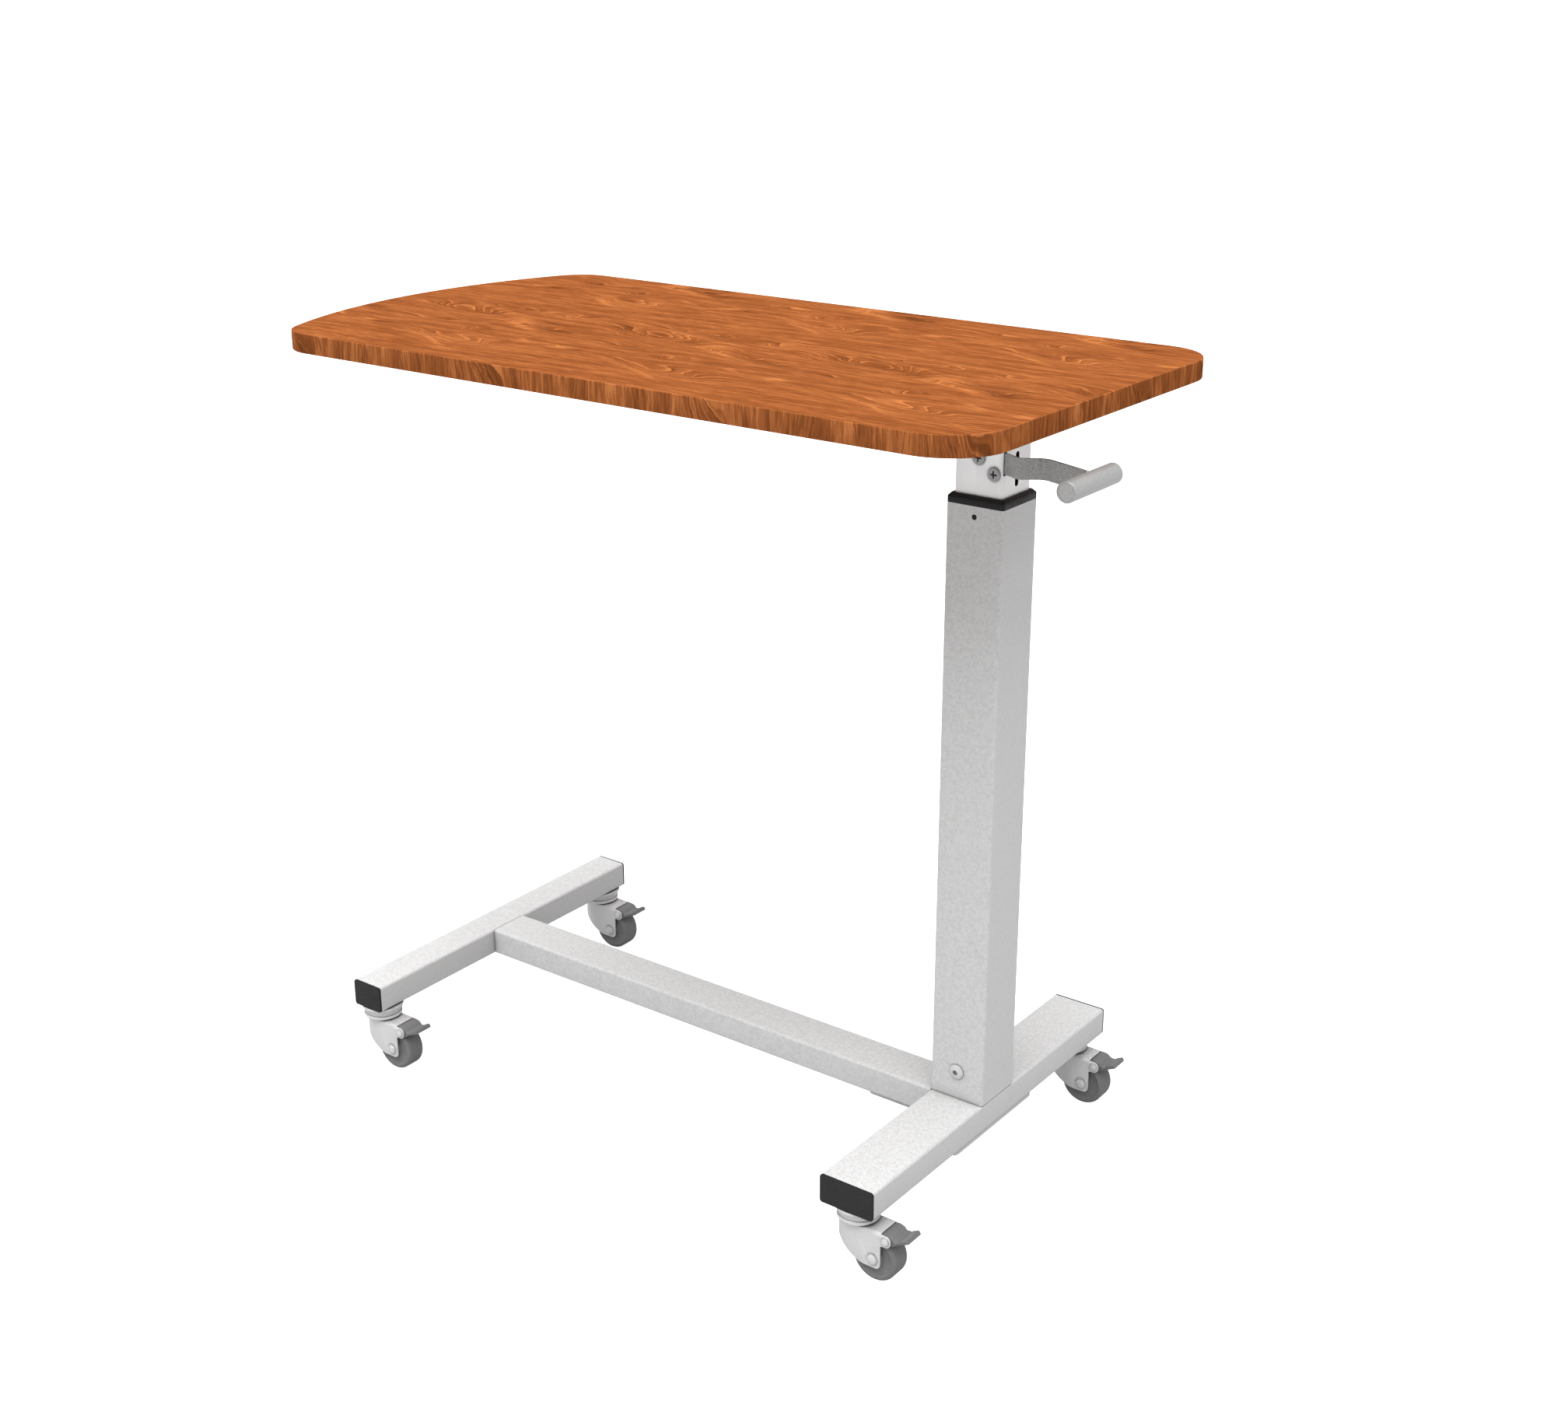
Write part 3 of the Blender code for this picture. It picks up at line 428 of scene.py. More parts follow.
def scaled(colour, share, more=0.0):
    return tuple(min(1.0, value * share + more) for value in colour)


def powder_coat(name, dark, light, scuffs):
    """Textured paint: fine speckle, orange peel, soft cloudiness, faint scuffs, and painted shade in corners
    and joints.
    """
    r = Recipe(name)
    p = r.place()
    speckle = r.remap(r.noise(p, 950, 2, 0.7), 0.38, 0.60)
    blotch = r.remap(r.noise(p, 260, 3, 0.7), 0.34, 0.62)
    spots = r.add_share(r.times(speckle, 0.6), blotch, 0.4)
    colour = r.mix(r.facing(0.35, 0.85, 1.0), r.mix(0.5, dark, light), r.mix(spots, dark, light))
    cloud = r.remap(r.noise(p, 11, 3), 0.3, 0.7, 0.0, 0.12)
    colour = r.mix(cloud, colour, scaled(light, 0.86))
    marks = r.remap(r.noise(r.stretch(p, (60, 60, 240)), 1.0, 5, 0.65), 0.66, 0.74, 0.0, scuffs)
    colour = r.mix(marks, colour, scaled(dark, 0.75))
    colour = r.mix(r.times(r.edges(0.0012), 0.20), colour, dark)
    # painted shade: corners, joints and narrow gaps darkened, softly over 14 mm and strongly over 3 mm
    for reach, share in ((0.014, 0.30), (0.003, 0.75)):
        colour = r.mix(r.times(r.crevice_shade(reach), share), colour, scaled(dark, 0.25))
    height = r.add_share(r.noise(p, 1000, 3, 0.6), r.noise(p, 260, 1), 0.6)
    rough = r.remap(r.noise(p, 500, 2), 0.3, 0.7, 0.46, 0.66)
    return r.finish(colour, rough, normal=r.bump(height, 0.00012, 0.5), specular=0.2)


def moulded_plastic(name, dark, light, roughness, grain, specular):
    """Moulded plastic with a fine eroded grain and edges lighter in patches, partly rubbed wear and partly a
    painted highlight.
    """
    r = Recipe(name)
    p = r.place()
    grains = r.noise(p, grain, 2, 0.6)
    colour = r.mix(r.remap(grains, 0.3, 0.7), dark, light)
    # edges lighter in patches: rubbed wear, and a painted highlight along the edges
    wear_and_highlight = r.times(r.edges(0.0009), r.remap(r.noise(p, 160, 3), 0.4, 0.7))
    colour = r.mix(r.times(wear_and_highlight, 0.55), colour, scaled(light, 1.7, 0.01))
    rough = r.remap(r.noise(p, 70, 2), 0.3, 0.7, roughness - 0.07, roughness + 0.07)
    return r.finish(colour, rough, normal=r.bump(grains, 0.00008, 0.5), specular=specular)


def metal(name, dark, light, roughness, metallic, grain, worn=0.3, top_shade=0.0):
    """Spangled metal with small pits, bright rubbed edges, painted shade in recesses and joints, and dark
    specks where it faces up, painted shade for the shadow that falls on such tops.
    """
    r = Recipe(name)
    p = r.place()
    lines = r.noise(p, grain, 4, 0.65)
    spangle = r.noise(p, grain * 0.5, 1, 0.5, 0.6)
    colour = r.mix(r.remap(lines, 0.32, 0.68), dark, light)
    colour = r.mix(r.remap(spangle, 0.35, 0.65, 0.0, 0.2), colour, light)
    # painted shade: dark specks on faces that point up, standing in for the shadow on tops that lie under
    # other parts
    if top_shade:
        top_shade_specks = r.times(r.remap(r.noise(p, 1100, 2, 0.7), 0.44, 0.58), top_shade)
        colour = r.mix(r.times(top_shade_specks, r.facing(0.0, 0.0, 1.0)), colour, scaled(dark, 0.4))
    colour = r.mix(r.times(r.edges(0.0008), worn), colour, scaled(light, 1.25, 0.03))
    # painted shade: recesses, joints and contact rings darkened
    colour = r.mix(r.times(r.crevice_shade(0.0035), 0.85), colour, scaled(dark, 0.12))
    rough = r.remap(lines, 0.3, 0.7, roughness - 0.08, roughness + 0.10)
    return r.finish(colour, rough, metallic, r.bump(lines, 0.00006, 0.5))


def rubber(name, dark, light):
    """Matt tread with scuffed marks round the running face."""
    r = Recipe(name)
    p = r.place()
    grains = r.noise(p, 900, 3, 0.7)
    scuffs = r.remap(r.noise(r.stretch(p, (40, 420, 40)), 1.0, 4, 0.6), 0.52, 0.70)
    colour = r.mix(r.remap(grains, 0.3, 0.7), dark, light)
    colour = r.mix(r.times(scuffs, 0.20), colour, scaled(light, 1.5))
    return r.finish(colour, r.remap(grains, 0.3, 0.7, 0.5, 0.66), normal=r.bump(grains, 0.00006, 0.4))


# ---- wood laminate
TILE = 0.257  # the printed pattern repeats after this length both ways
DARK_WOOD = (0.115, 0.032, 0.009)
WOOD = (0.246, 0.073, 0.021)
LIGHT_WOOD = (0.440, 0.152, 0.048)
RING_SPACING = 0.0062
RING_TONES = ((0.0, 1.0), (0.10, 0.80), (0.24, 0.46), (0.80, 0.36), (0.94, 0.12), (1.0, 0.9))
DRIFT = 0.016  # slow swing of the rings
RIPPLE = 0.0026  # short swing of the rings
EYE = (-0.0585, -0.0275, 0)  # one eye of the grain lies here on the board
# Figures: along, across, half length, half width, tilt, rings, and shade (light +, dark -)
FIGURES = (
    (0, 0, 0.062, 0.021, -13, 7, -0.1),
    (0, 0, 0.022, 0.004, -6, 0, -0.55),
    (-0.058, 0.016, 0.02, 0.007, -38, 0, -0.55),
    (0.048, -0.006, 0.018, 0.007, -10, 0, -0.45),
    (0.03, 0.037, 0.052, 0.008, -3, 3.2, -0.35),
    (0.126, 0.03, 0.02, 0.012, 20, 2.2, 0.1),
    (0.082, -0.012, 0.02, 0.01, -20, -2, 0.75),
    (0.02, 0.022, 0.075, 0.003, -14, 0, 0.5),
    (-0.122, -0.011, 0.03, 0.005, 0, 1.2, -0.65),
    (0.1, -0.034, 0.042, 0.004, -20, 0.8, 0.75),
    (0.148, -0.036, 0.03, 0.008, -14, 1.6, -0.85),
    (0.01, -0.058, 0.04, 0.008, 4, 1.6, -0.3),
    (0.082, -0.078, 0.022, 0.008, 25, 1.8, -0.25),
    (-0.1, -0.089, 0.016, 0.003, -25, 0, 0.65),
    (-0.044, -0.097, 0.013, 0.005, 12, 0.6, 0.95),
    (-0.022, -0.099, 0.013, 0.005, 0, 0, -0.6),
    (0.11, -0.128, 0.06, 0.016, -13, 4.4, 0.1),
    (0.09, -0.142, 0.034, 0.0035, -28, 0, 0.7),
)


def meander(r, grain):
    """Grain position shifted slowly along and across, so that no line runs dead straight."""
    shift = 0.0
    for stretch, reach in (((9, 34, 1), DRIFT), ((60, 170, 1), RIPPLE)):
        swing = r.math("SUBTRACT", r.noise(r.stretch(grain, stretch), 1.0, 2, 0.5), 0.5)
        shift = r.add_share(shift, swing, reach)
    return r.vector("ADD", grain, r.joined(r.times(shift, 1.4), shift))


def figure_distance(r, place, x, y, length, width, tilt):
    """Squared distance from a repeated figure's middle, 1 on its outline."""
    window = {0: place, 1: (x + TILE / 2, y + TILE / 2, 1), 2: (x - TILE / 2, y - TILE / 2, -1)}
    wrapped = r.node("VectorMath", window, operation="WRAP").outputs[0]
    stand = {"Vector": wrapped, "Location": (x, y, 0), "Scale": (length, width, 1)}
    stand["Rotation"] = (0, 0, radians(tilt))
    local = r.node("Mapping", stand, vector_type="TEXTURE").outputs[0]
    return r.dot(local, local)


def grain_colour(r, grain, streaks=1.0):
    """Colour of the laminate at (along, across) metres: fibres, streaks, growth rings and figures."""
    place = meander(r, grain)
    rings = r.math("DIVIDE", r.part_of(place, "Y"), RING_SPACING)
    shade, figured = 0.0, 0.0
    for *stand, height, tone in FIGURES:
        distance = figure_distance(r, place, *stand)
        bell = r.math("EXPONENT", r.times(distance, -1.0))
        rings = r.add_share(rings, bell, height)
        shade = r.add_share(shade, bell, tone)
        if height:
            wide = r.math("EXPONENT", r.times(distance, -0.45))
            figured = r.math("MAXIMUM", figured, wide)
    tones = [(stop, grey(value)) for stop, value in RING_TONES]
    ring_tone = r.math("SUBTRACT", r.ramp(r.math("FRACT", rings), tones), 0.42)
    contrast = r.remap(figured, 0.0, 1.0, 0.28, 0.95)
    flow = r.joined(r.times(r.part_of(place, "X"), 9), r.times(rings, 0.55))
    streak = r.remap(r.noise(flow, 1.0, 3, 0.55), 0.43, 0.57)
    line = r.remap(r.noise(r.stretch(flow, (2.2, 2.8, 1)), 1.0, 2, 0.6), 0.44, 0.59)
    fibre = r.noise(r.stretch(grain, (26, 1500, 1)), 1.0, 3, 0.6)
    dash = r.noise(r.stretch(grain, (70, 620, 1)), 1.0, 2, 0.6)
    tone = r.add_share(r.times(ring_tone, contrast), shade, 0.46)
    for noise, amount in ((fibre, 0.75), (dash, 0.70), (streak, 0.19 * streaks), (line, 0.17 * streaks)):
        tone = r.add_share(tone, r.math("SUBTRACT", noise, 0.5), amount)
    tone = r.math("ADD", tone, 0.5)
    colour = r.ramp(tone, [(0.0, DARK_WOOD), (0.5, WOOD), (1.0, LIGHT_WOOD)])
    return colour, fibre


def laminate_top(name):
    """Board's printed face: the grain runs along its length."""
    r = Recipe(name)
    flat = r.stretch(r.position(), (1, 1, 0))
    colour, fibre = grain_colour(r, r.vector("SUBTRACT", flat, EYE))
    rough = r.remap(fibre, 0.3, 0.7, 0.40, 0.56)
    return r.finish(colour, rough, normal=r.bump(fibre, 0.00005, 0.35), specular=0.0)


def laminate_edge(name):
    """Edge band: the grain stands upright, so its figures show as stripes and narrow flames."""
    r = Recipe(name)
    grain = r.node("UVMap", uv_map="grain").outputs["UV"]
    colour, fibre = grain_colour(r, grain, 1.7)
    colour = r.mix(r.add_share(0.08, r.edges(0.0010), 0.24), colour, LIGHT_WOOD)
    rough = r.remap(fibre, 0.3, 0.7, 0.42, 0.58)
    return r.finish(colour, rough, normal=r.bump(fibre, 0.00005, 0.35), specular=0.0)


def studio_floor():
    """Pale floor: white to the camera, darker to the light it sends back up, clear from below."""
    r = Recipe("studio_floor")
    r.finish(r.mix(r.noise(r.position(), 3, 2), grey(0.47), grey(0.49)), 0.9, specular=0.0)
    glow = r.node("Emission", {"Color": grey(1.0), "Strength": FLOOR_GLOW}).outputs[0]
    lit = r.node("AddShader", {0: r.shader.outputs[0], 1: glow}).outputs[0]
    seen = r.node("LightPath").outputs["Is Camera Ray"]
    above = r.node("MixShader", {0: seen, 1: r.shader.outputs[0], 2: lit}).outputs[0]
    incoming = r.node("NewGeometry").outputs["Incoming"]
    below = r.math("LESS_THAN", r.part_of(incoming, "Z"), 0.0)
    clear = r.node("BsdfTransparent").outputs[0]
    shown = r.node("MixShader", {0: below, 1: above, 2: clear}).outputs[0]
    r.feed(r.nodes["Material Output"].inputs["Surface"], shown)
    return r.material


PAINT = "powder_coated_steel"
RECIPES = {
    # dark and light colour, scuffs
    PAINT: (powder_coat, grey(0.44), grey(0.64), 0.20),
    "smooth_paint": (powder_coat, grey(0.94), grey(0.97), 0.06),
    # dark and light colour, roughness, size of the grain, specular share
    "cap_plastic": (moulded_plastic, grey(0.021), grey(0.028), 0.6, 1100, 0.15),
    "black_plastic": (moulded_plastic, grey(0.009), grey(0.014), 0.45, 900, 0.2),
    "pedal_plastic": (moulded_plastic, grey(0.13, 0.001), grey(0.152, 0.001), 0.5, 900, 0.3),
    # dark and light colour, roughness, metallic share, size of the grain, worn edges, painted shade specks
    # on upward faces
    # near black: painted shade for the unlit inside of the inner tube
    "tube_inside": (metal, grey(0.010), grey(0.018), 0.7, 0.2, 500),
    "bare_steel": (metal, grey(0.20), grey(0.42, -0.005), 0.50, 0.35, 900),
    "grip_metal": (metal, grey(0.32), grey(0.47, -0.002), 0.42, 0.30, 1100, 0.4),
    "zinc_plate": (metal, grey(0.52, 0.002), grey(0.66), 0.42, 0.20, 1000, 0.3, 0.6),
    "bolt_steel": (metal, grey(0.26), grey(0.38), 0.42, 0.35, 1000),
    "fork_steel": (metal, grey(0.56), grey(0.68, -0.002), 0.50, 0.10, 1300, 0.3, 0.6),
    # dark and light colour
    "grey_rubber": (rubber, grey(0.125, 0.001), grey(0.165, 0.001)),
    "laminate_top": (laminate_top,),
    "laminate_edge": (laminate_edge,),
}
MATERIALS = {name: recipe(name, *values) for name, (recipe, *values) in RECIPES.items()}


# ---- base
STEM_HOLE = 0.0053
CAP_ROUND = 0.0004
CAP_FLANGE = 0.002
FLAT = 0.99  # share of a normal along Y from which a face counts as flat
PLATE_CORNER = 0.006
PLATE_STEP = 0.031  # from the bar's middle to the step between the plate's head and its tongue
TONGUE_FAR = 0.020
TONGUE_NEAR = 0.0240  # the photo shows the tongue's near edge just below the rail
BASE_BOLT_HOLE = 0.0053
BASE_BOLT_SHANK = 0.005
BASE_BOLT_RISE = 0.0034  # height of the button head
BASE_BOLT_CURVE = 0.0026  # how far the head falls from its middle to its rim
SOCKET_RADIUS = 0.0031
SOCKET_DEPTH = 0.0032
COLLAR_PIN_HOLE = 0.0026
COLLAR_CHAMFER = 0.0028
COLLAR_CHAMFER_RISE = 0.0032
COLLAR_SOFT = 0.0005


def make_foot_bar(name):
    centre, extent = middle(name), size(name)
    holes = []
    for end in ("near", "far"):
        axle = middle(f"caster_{name.split('_')[0]}_{end}_stem_race")
        holes.append(rod(STEM_HOLE, -extent.z, 0, centre=(0, axle.y - centre.y, 0)))
    shape = tube(extent.x, extent.z, WALL, -extent.y / 2, extent.y / 2, "Y")
    build(name, shape, PAINT, "base", cuts(*holes), 0, centre)
    for side, end in ((-1, "near"), (1, "far")):
        make_cap(f"{name}_cap_{end}", side)


def make_cap(node, side):
    """End cap with a softly rounded face and a plug inside the tube."""
    extent = size(node)
    face = high(node).y if side > 0 else low(node).y
    levels = rounding(CAP_ROUND, 3)
    levels += [(0.0, CAP_FLANGE), (WALL + GAP, CAP_FLANGE), (WALL + GAP, extent.y)]
    rows = []
    for inset, depth in levels:
        corner = TUBE_CORNER - min(inset, WALL)
        outline = rounded_rectangle(extent.x - 2 * inset, extent.z - 2 * inset, corner)
        rows.append((outline, side * depth))
    mesh = shaped_mesh(f"{node}_mesh", stack(rows, "Y"))
    mesh.materials.append(MATERIALS["cap_plastic"])
    mesh.materials.append(MATERIALS["black_plastic"])
    for polygon in mesh.polygons:
        polygon.material_index = 0 if abs(polygon.normal.y) > FLAT else 1
    centre = middle(node)
    add_piece(f"{node}_fine", mesh, "cap_plastic", "base", node, (centre.x, face, centre.z))


def make_base_rail():
    extent, centre = size("base_rail"), middle("base_rail")
    shape = tube(extent.z, extent.y, WALL, -extent.x / 2, extent.x / 2, "X")
    build("base_rail", shape, PAINT, "base", place=centre)


def make_base_plate():
    """T-shaped plate under the column bar, its tongue running under the rail and nearly flush with it."""
    start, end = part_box("base_plate")
    half, corner = end.y, PLATE_CORNER
    step_x = middle("column_foot_bar").x - PLATE_STEP
    sides = []
    for reach in (TONGUE_FAR, TONGUE_NEAR):
        side = arc((start.x + corner, reach - corner), corner, 180, 90, 6) + [(step_x, reach)]
        side += arc((step_x + corner, half - corner), corner, 180, 90, 6)
        side += arc((end.x - corner, half - corner), corner, 90, 0, 6)
        sides.append(side)
    outline = sides[0] + [(x, -y) for x, y in reversed(sides[1])]
    build("base_plate", prism(outline, start.z, end.z), PAINT, "base", edge=0.0005)


def make_column():
    node = "column_tube"
    start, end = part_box(node)
    centre = middle(node)
    bolt, pin = middle("column_base_bolt_near"), middle("collar_pin")
    shape = tube(size(node).x, size(node).y, WALL, start.z - centre.z, end.z - centre.z, "Z")
    holes = cuts(
        bore(BASE_BOLT_HOLE, 0, bolt.z - centre.z),
        rod(COLLAR_PIN_HOLE, 0, THROUGH, "Y", (0, 0, pin.z - centre.z)),
    )
    build(node, shape, PAINT, "base", holes, 0, centre)


def make_collar():
    """Black collar: sleeve inside the column, rim on its end, chamfered and softly rounded."""
    node = "column_collar"
    start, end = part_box(node)
    seat = high("column_tube").z + GAP
    outer, chamfer, rise, soft = size(node).x, COLLAR_CHAMFER, COLLAR_CHAMFER_RISE, COLLAR_SOFT
    sleeve = outer - 2 * (WALL + GAP)
    bore_side = size("inner_tube").x + 2 * GAP
    rows = [(rounded_rectangle(sleeve, sleeve, TUBE_CORNER - WALL), z) for z in (start.z, seat)]
    levels = (
        (outer - soft, seat),
        (outer, seat + soft),
        (outer, end.z - rise - soft / 2),
        (outer - soft, end.z - rise + soft / 2),
        (outer - 2 * chamfer + soft, end.z - soft / 2),
        (outer - 2 * chamfer - soft, end.z),
        (bore_side + soft, end.z),
        (bore_side, end.z - soft / 2),
        (bore_side, start.z),
    )
    rows += [(rounded_rectangle(side, side, TUBE_CORNER), z) for side, z in levels]
    centre = middle(node)
    pin = rod(COLLAR_PIN_HOLE, 0, THROUGH, "Y", (0, 0, middle("collar_pin").z))
    place = (centre.x, centre.y, 0)
    build(node, stack(rows, "Z", True), "black_plastic", "base", cuts(pin), 0, place)


def make_collar_pin():
    start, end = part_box("collar_pin")
    radius = size("collar_pin").x / 2
    face = low("column_tube").y
    profile = dome(radius, face - start.y, -face) + [(radius, -end.y), (0, -end.y)]
    centre = middle("collar_pin")
    build("collar_pin", turned(profile, "Y"), "black_plastic", "base", place=(centre.x, 0, centre.z))


def make_base_bolts():
    """Button-head bolts with a hexagon socket, the crown flat as far as the socket's rim."""
    for side, end in ((1, "near"), (-1, "far")):
        node = f"column_base_bolt_{end}"
        centre, extent = middle(node), size(node)
        face = high("column_tube").y + GAP
        head, shank = extent.x * 0.475, BASE_BOLT_SHANK
        tip = max(abs(low(node).y), abs(high(node).y)) - extent.y
        crown = face + BASE_BOLT_RISE
        profile = [(0, crown)]
        for share in (0.36, 0.44, 0.55, 0.66, 0.77, 0.88, 0.96):
            profile.append((head * share, crown - BASE_BOLT_CURVE * (share**2 - 0.13)))
        profile += [(head, face + 0.0002), (head - 0.0002, face), (shank, face), (shank, tip), (0, tip)]
        hexagon = arc((0, 0), SOCKET_RADIUS, 0, 300, 5)
        socket = prism(hexagon, crown - SOCKET_DEPTH, crown + 0.001, "Y")
        shape = turned(profile, "Y")
        if side < 0:
            for piece in (shape, socket):
                bmesh.ops.transform(piece, matrix=Matrix.Rotation(pi, 4, "Z"), verts=piece.verts)
        place = (centre.x, 0, centre.z)
        build(node, shape, "zinc_plate", "base", cuts(socket), 0.00015, place)


# ---- lifting column and top
SLOT_LOW, SLOT_HIGH = 0.7235, 0.7555  # heights of the lever's slot
SLOT_WIDTH = 0.006
SLIT_START, SLIT_END = 0.0212, 0.0265  # the slit for the strip, across the column's outer wall
SLIT_HALF = 0.0021
TUBE_BOLT_HOLE = 0.0033
TUBE_BOLT_SHANK = 0.003
TUBE_BOLT_RISE = 0.0019  # height of the cross head
NUT_BORE = 0.0031
SHADE_DEPTH = 0.00095  # the white finish reaches this far into a cut; further in, faces take the painted shade of the unlit inside
RECESS_ARM = 0.22  # width of a cross recess's arm against its length
SCREW_HOLE = 0.0023
SCREW_DEPTH = 0.015  # how far the screw's hole reaches into the board
SCREW_SHANK = 0.002
SCREW_SIDES = 40
SCREWS = [f"tabletop_screw_{number}" for number in range(1, 5)]


def make_inner_tube():
    """Inner column with the lever's slot in its outer side and the holes of its bolts."""
    node = "inner_tube"
    centre, extent = middle(node), size(node)
    slot = rounded_rectangle(SLOT_HIGH - SLOT_LOW, SLOT_WIDTH, SLOT_WIDTH * 0.49)
    slot = [(x - (SLOT_LOW + SLOT_HIGH) / 2, y) for x, y in slot]
    strip_low, strip_high = low("lever_strip").z, high("lever_strip").z
    strip_y = STRIP_START[1]
    shape = tube(extent.x, extent.y, WALL, low(node).z, high(node).z, "Z")
    slit = box(
        (SLIT_START, strip_y - SLIT_HALF, strip_low + 0.005),
        (SLIT_END, strip_y + SLIT_HALF, strip_high + 0.003),
    )
    holes = [prism(slot, 0, THROUGH, "X"), slit]
    for bolt in (middle("release_head_bolt"), middle("lever_pivot_bolt")):
        holes.append(bore(TUBE_BOLT_HOLE, bolt.x - centre.x, bolt.z))
    mesh = shaped_mesh("inner_tube_mesh", shape, cuts(*holes), 0.0003)
    mesh.materials.append(MATERIALS["smooth_paint"])
    # second material: near black, painted shade for the unlit inside of the tube, seen through the slot
    mesh.materials.append(MATERIALS["tube_inside"])
    for face in mesh.polygons:
        if max(abs(face.center.x), abs(face.center.y)) < extent.x / 2 - SHADE_DEPTH:
            face.material_index = 1
    place = (centre.x, centre.y, 0)
    add_piece("inner_tube_fine", mesh, PAINT, "lift", node, place)


def make_top_support():
    extent, centre = size("head_plate"), middle("head_plate")
    outline = rounded_rectangle(extent.x, extent.y, 0.008)
    shape = prism(outline, -extent.z / 2, extent.z / 2)
    build("head_plate", shape, PAINT, "lift", edge=0.0006, place=centre)
    for end in ("near", "far"):
        node = f"support_arm_{end}"
        extent, centre = size(node), middle(node)
        shape = tube(extent.z, extent.y, ARM_WALL, -extent.x / 2, extent.x / 2, "X")
        holes = []
        for screw in map(middle, SCREWS):
            if abs(screw.y - centre.y) < extent.y / 2:
                holes.append(rod(SCREW_HOLE, -THROUGH, THROUGH, centre=(screw.x - centre.x, 0, 0), sides=32))
        build(node, shape, PAINT, "lift", cuts(*holes), 0.0003, centre)


def cross_recess(radius, depth, top, place):
    """Two crossed tapering cutters for a screw head, opening upwards at the given height."""
    cutters = []
    for turn in (0, 90):
        stand = place @ Matrix.Rotation(radians(turn), 4, "Z")
        loops = []
        for z, share in ((top + 0.0005, 1.05), (top - depth, 0.45)):
            x, y = radius * share, radius * share * RECESS_ARM
            loops.append([stand @ Vector(p) for p in ((x, y, z), (-x, y, z), (-x, -y, z), (x, -y, z))])
        cutters.append(loft(loops))
    return cutters


def pan_head(radius, height, seat):
    """Profile of a pan head from its tip down to its seat."""
    soft = height * 0.6
    curve = [(radius - inset, seat + height - depth) for inset, depth in rounding(soft, 8)]
    return [(0, seat + height)] + curve + [(radius, seat + 0.0001)]


def make_top_screws():
    """Wood screws with their heads below the arms and their tips in the board."""
    for node in SCREWS:
        start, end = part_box(node)
        centre = middle(node)
        radius = size(node).x / 2
        seat = low("support_arm_near").z - GAP
        head = pan_head(radius, seat - start.z, 0)
        profile = [(r, seat - z) for r, z in head]
        profile += [(radius, seat), (SCREW_SHANK, seat), (SCREW_SHANK, end.z - SCREW_SHANK), (0, end.z)]
        flip = Matrix.Translation((0, 0, start.z)) @ Matrix.Rotation(pi, 4, "X")
        recess = cross_recess(radius * 0.62, 0.0015, 0, flip)
        place = (centre.x, centre.y, 0)
        build(node, turned(profile, sides=SCREW_SIDES), "zinc_plate", "lift", cuts(*recess), 0, place)


def make_tube_bolts():
    """Cross-head bolts through the inner column and their nuts."""
    face = high("inner_tube").y + GAP
    for name in ("release_head", "lever_pivot"):
        node, nut = f"{name}_bolt", f"{name}_nut"
        centre = middle(node)
        radius, shank, tip = size(node).x / 2, TUBE_BOLT_SHANK, -high(node).y
        profile = pan_head(radius, TUBE_BOLT_RISE, face)
        profile += [(radius, face), (shank, face), (shank, tip), (0, tip)]
        recess = cross_recess(radius * 0.60, 0.0028, face + TUBE_BOLT_RISE, ALONG["Y"].to_4x4())
        place = (centre.x, 0, centre.z)
        mesh = shaped_mesh(f"{node}_mesh", turned(profile, "Y"), cuts(*recess), 0.0001)
        mesh.materials.append(MATERIALS["bolt_steel"])
        add_piece(f"{node}_fine", mesh, "zinc_plate", "lift", node, place)
        make_nut(nut, place)


def make_nut(node, place):
    """Hexagon nut with its corners turned off."""
    start, end = low(node).y, high(node).y
    corner = size(node).x / 2
    hexagon = arc((0, 0), corner, 0, 300, 5)
    shape = prism(hexagon, -end, -start, "Y")
    profile = [(0, -end), (corner * 0.90, -end), (corner * 1.02, -end + 0.0009)]
    profile += [(corner * 1.02, -start - 0.0002), (corner * 0.95, -start), (0, -start)]
    changes = [("INTERSECT", turned(profile, "Y"))] + cuts(bore(NUT_BORE))
    build(node, shape, "zinc_plate", "lift", changes, 0, place)


TOP_BOW = 0.0546
BOW_CORNER = 0.047
STRAIGHT_CORNER = 0.057
BAND = 0.0012
BAND_ROUND = 0.0006
BAND_FIT = 0.00005
GRAIN_START = -0.062  # place in the printed pattern of the band's lower rim


def top_outline(inset):
    """Outline of the top: straight at +X with round corners, bowed at -X."""
    start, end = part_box("tabletop_edge_band")
    half = end.y
    bow = (half**2 + TOP_BOW**2) / (2 * TOP_BOW)
    bow_centre = start.x + bow
    r = STRAIGHT_CORNER
    upper = arc((end.x - r, half - r), r - inset, 0, 90, 24)
    rise = half - BOW_CORNER
    corner_x = bow_centre - sqrt((bow - BOW_CORNER) ** 2 - rise**2)
    meet = degrees(atan2(rise, corner_x - bow_centre))
    upper += arc((corner_x, rise), BOW_CORNER - inset, 90, meet, 18)
    upper += arc((bow_centre, 0), bow - inset, meet, 180, 24)[1:]
    return upper + [(x, -y) for x, y in reversed(upper[:-1])]


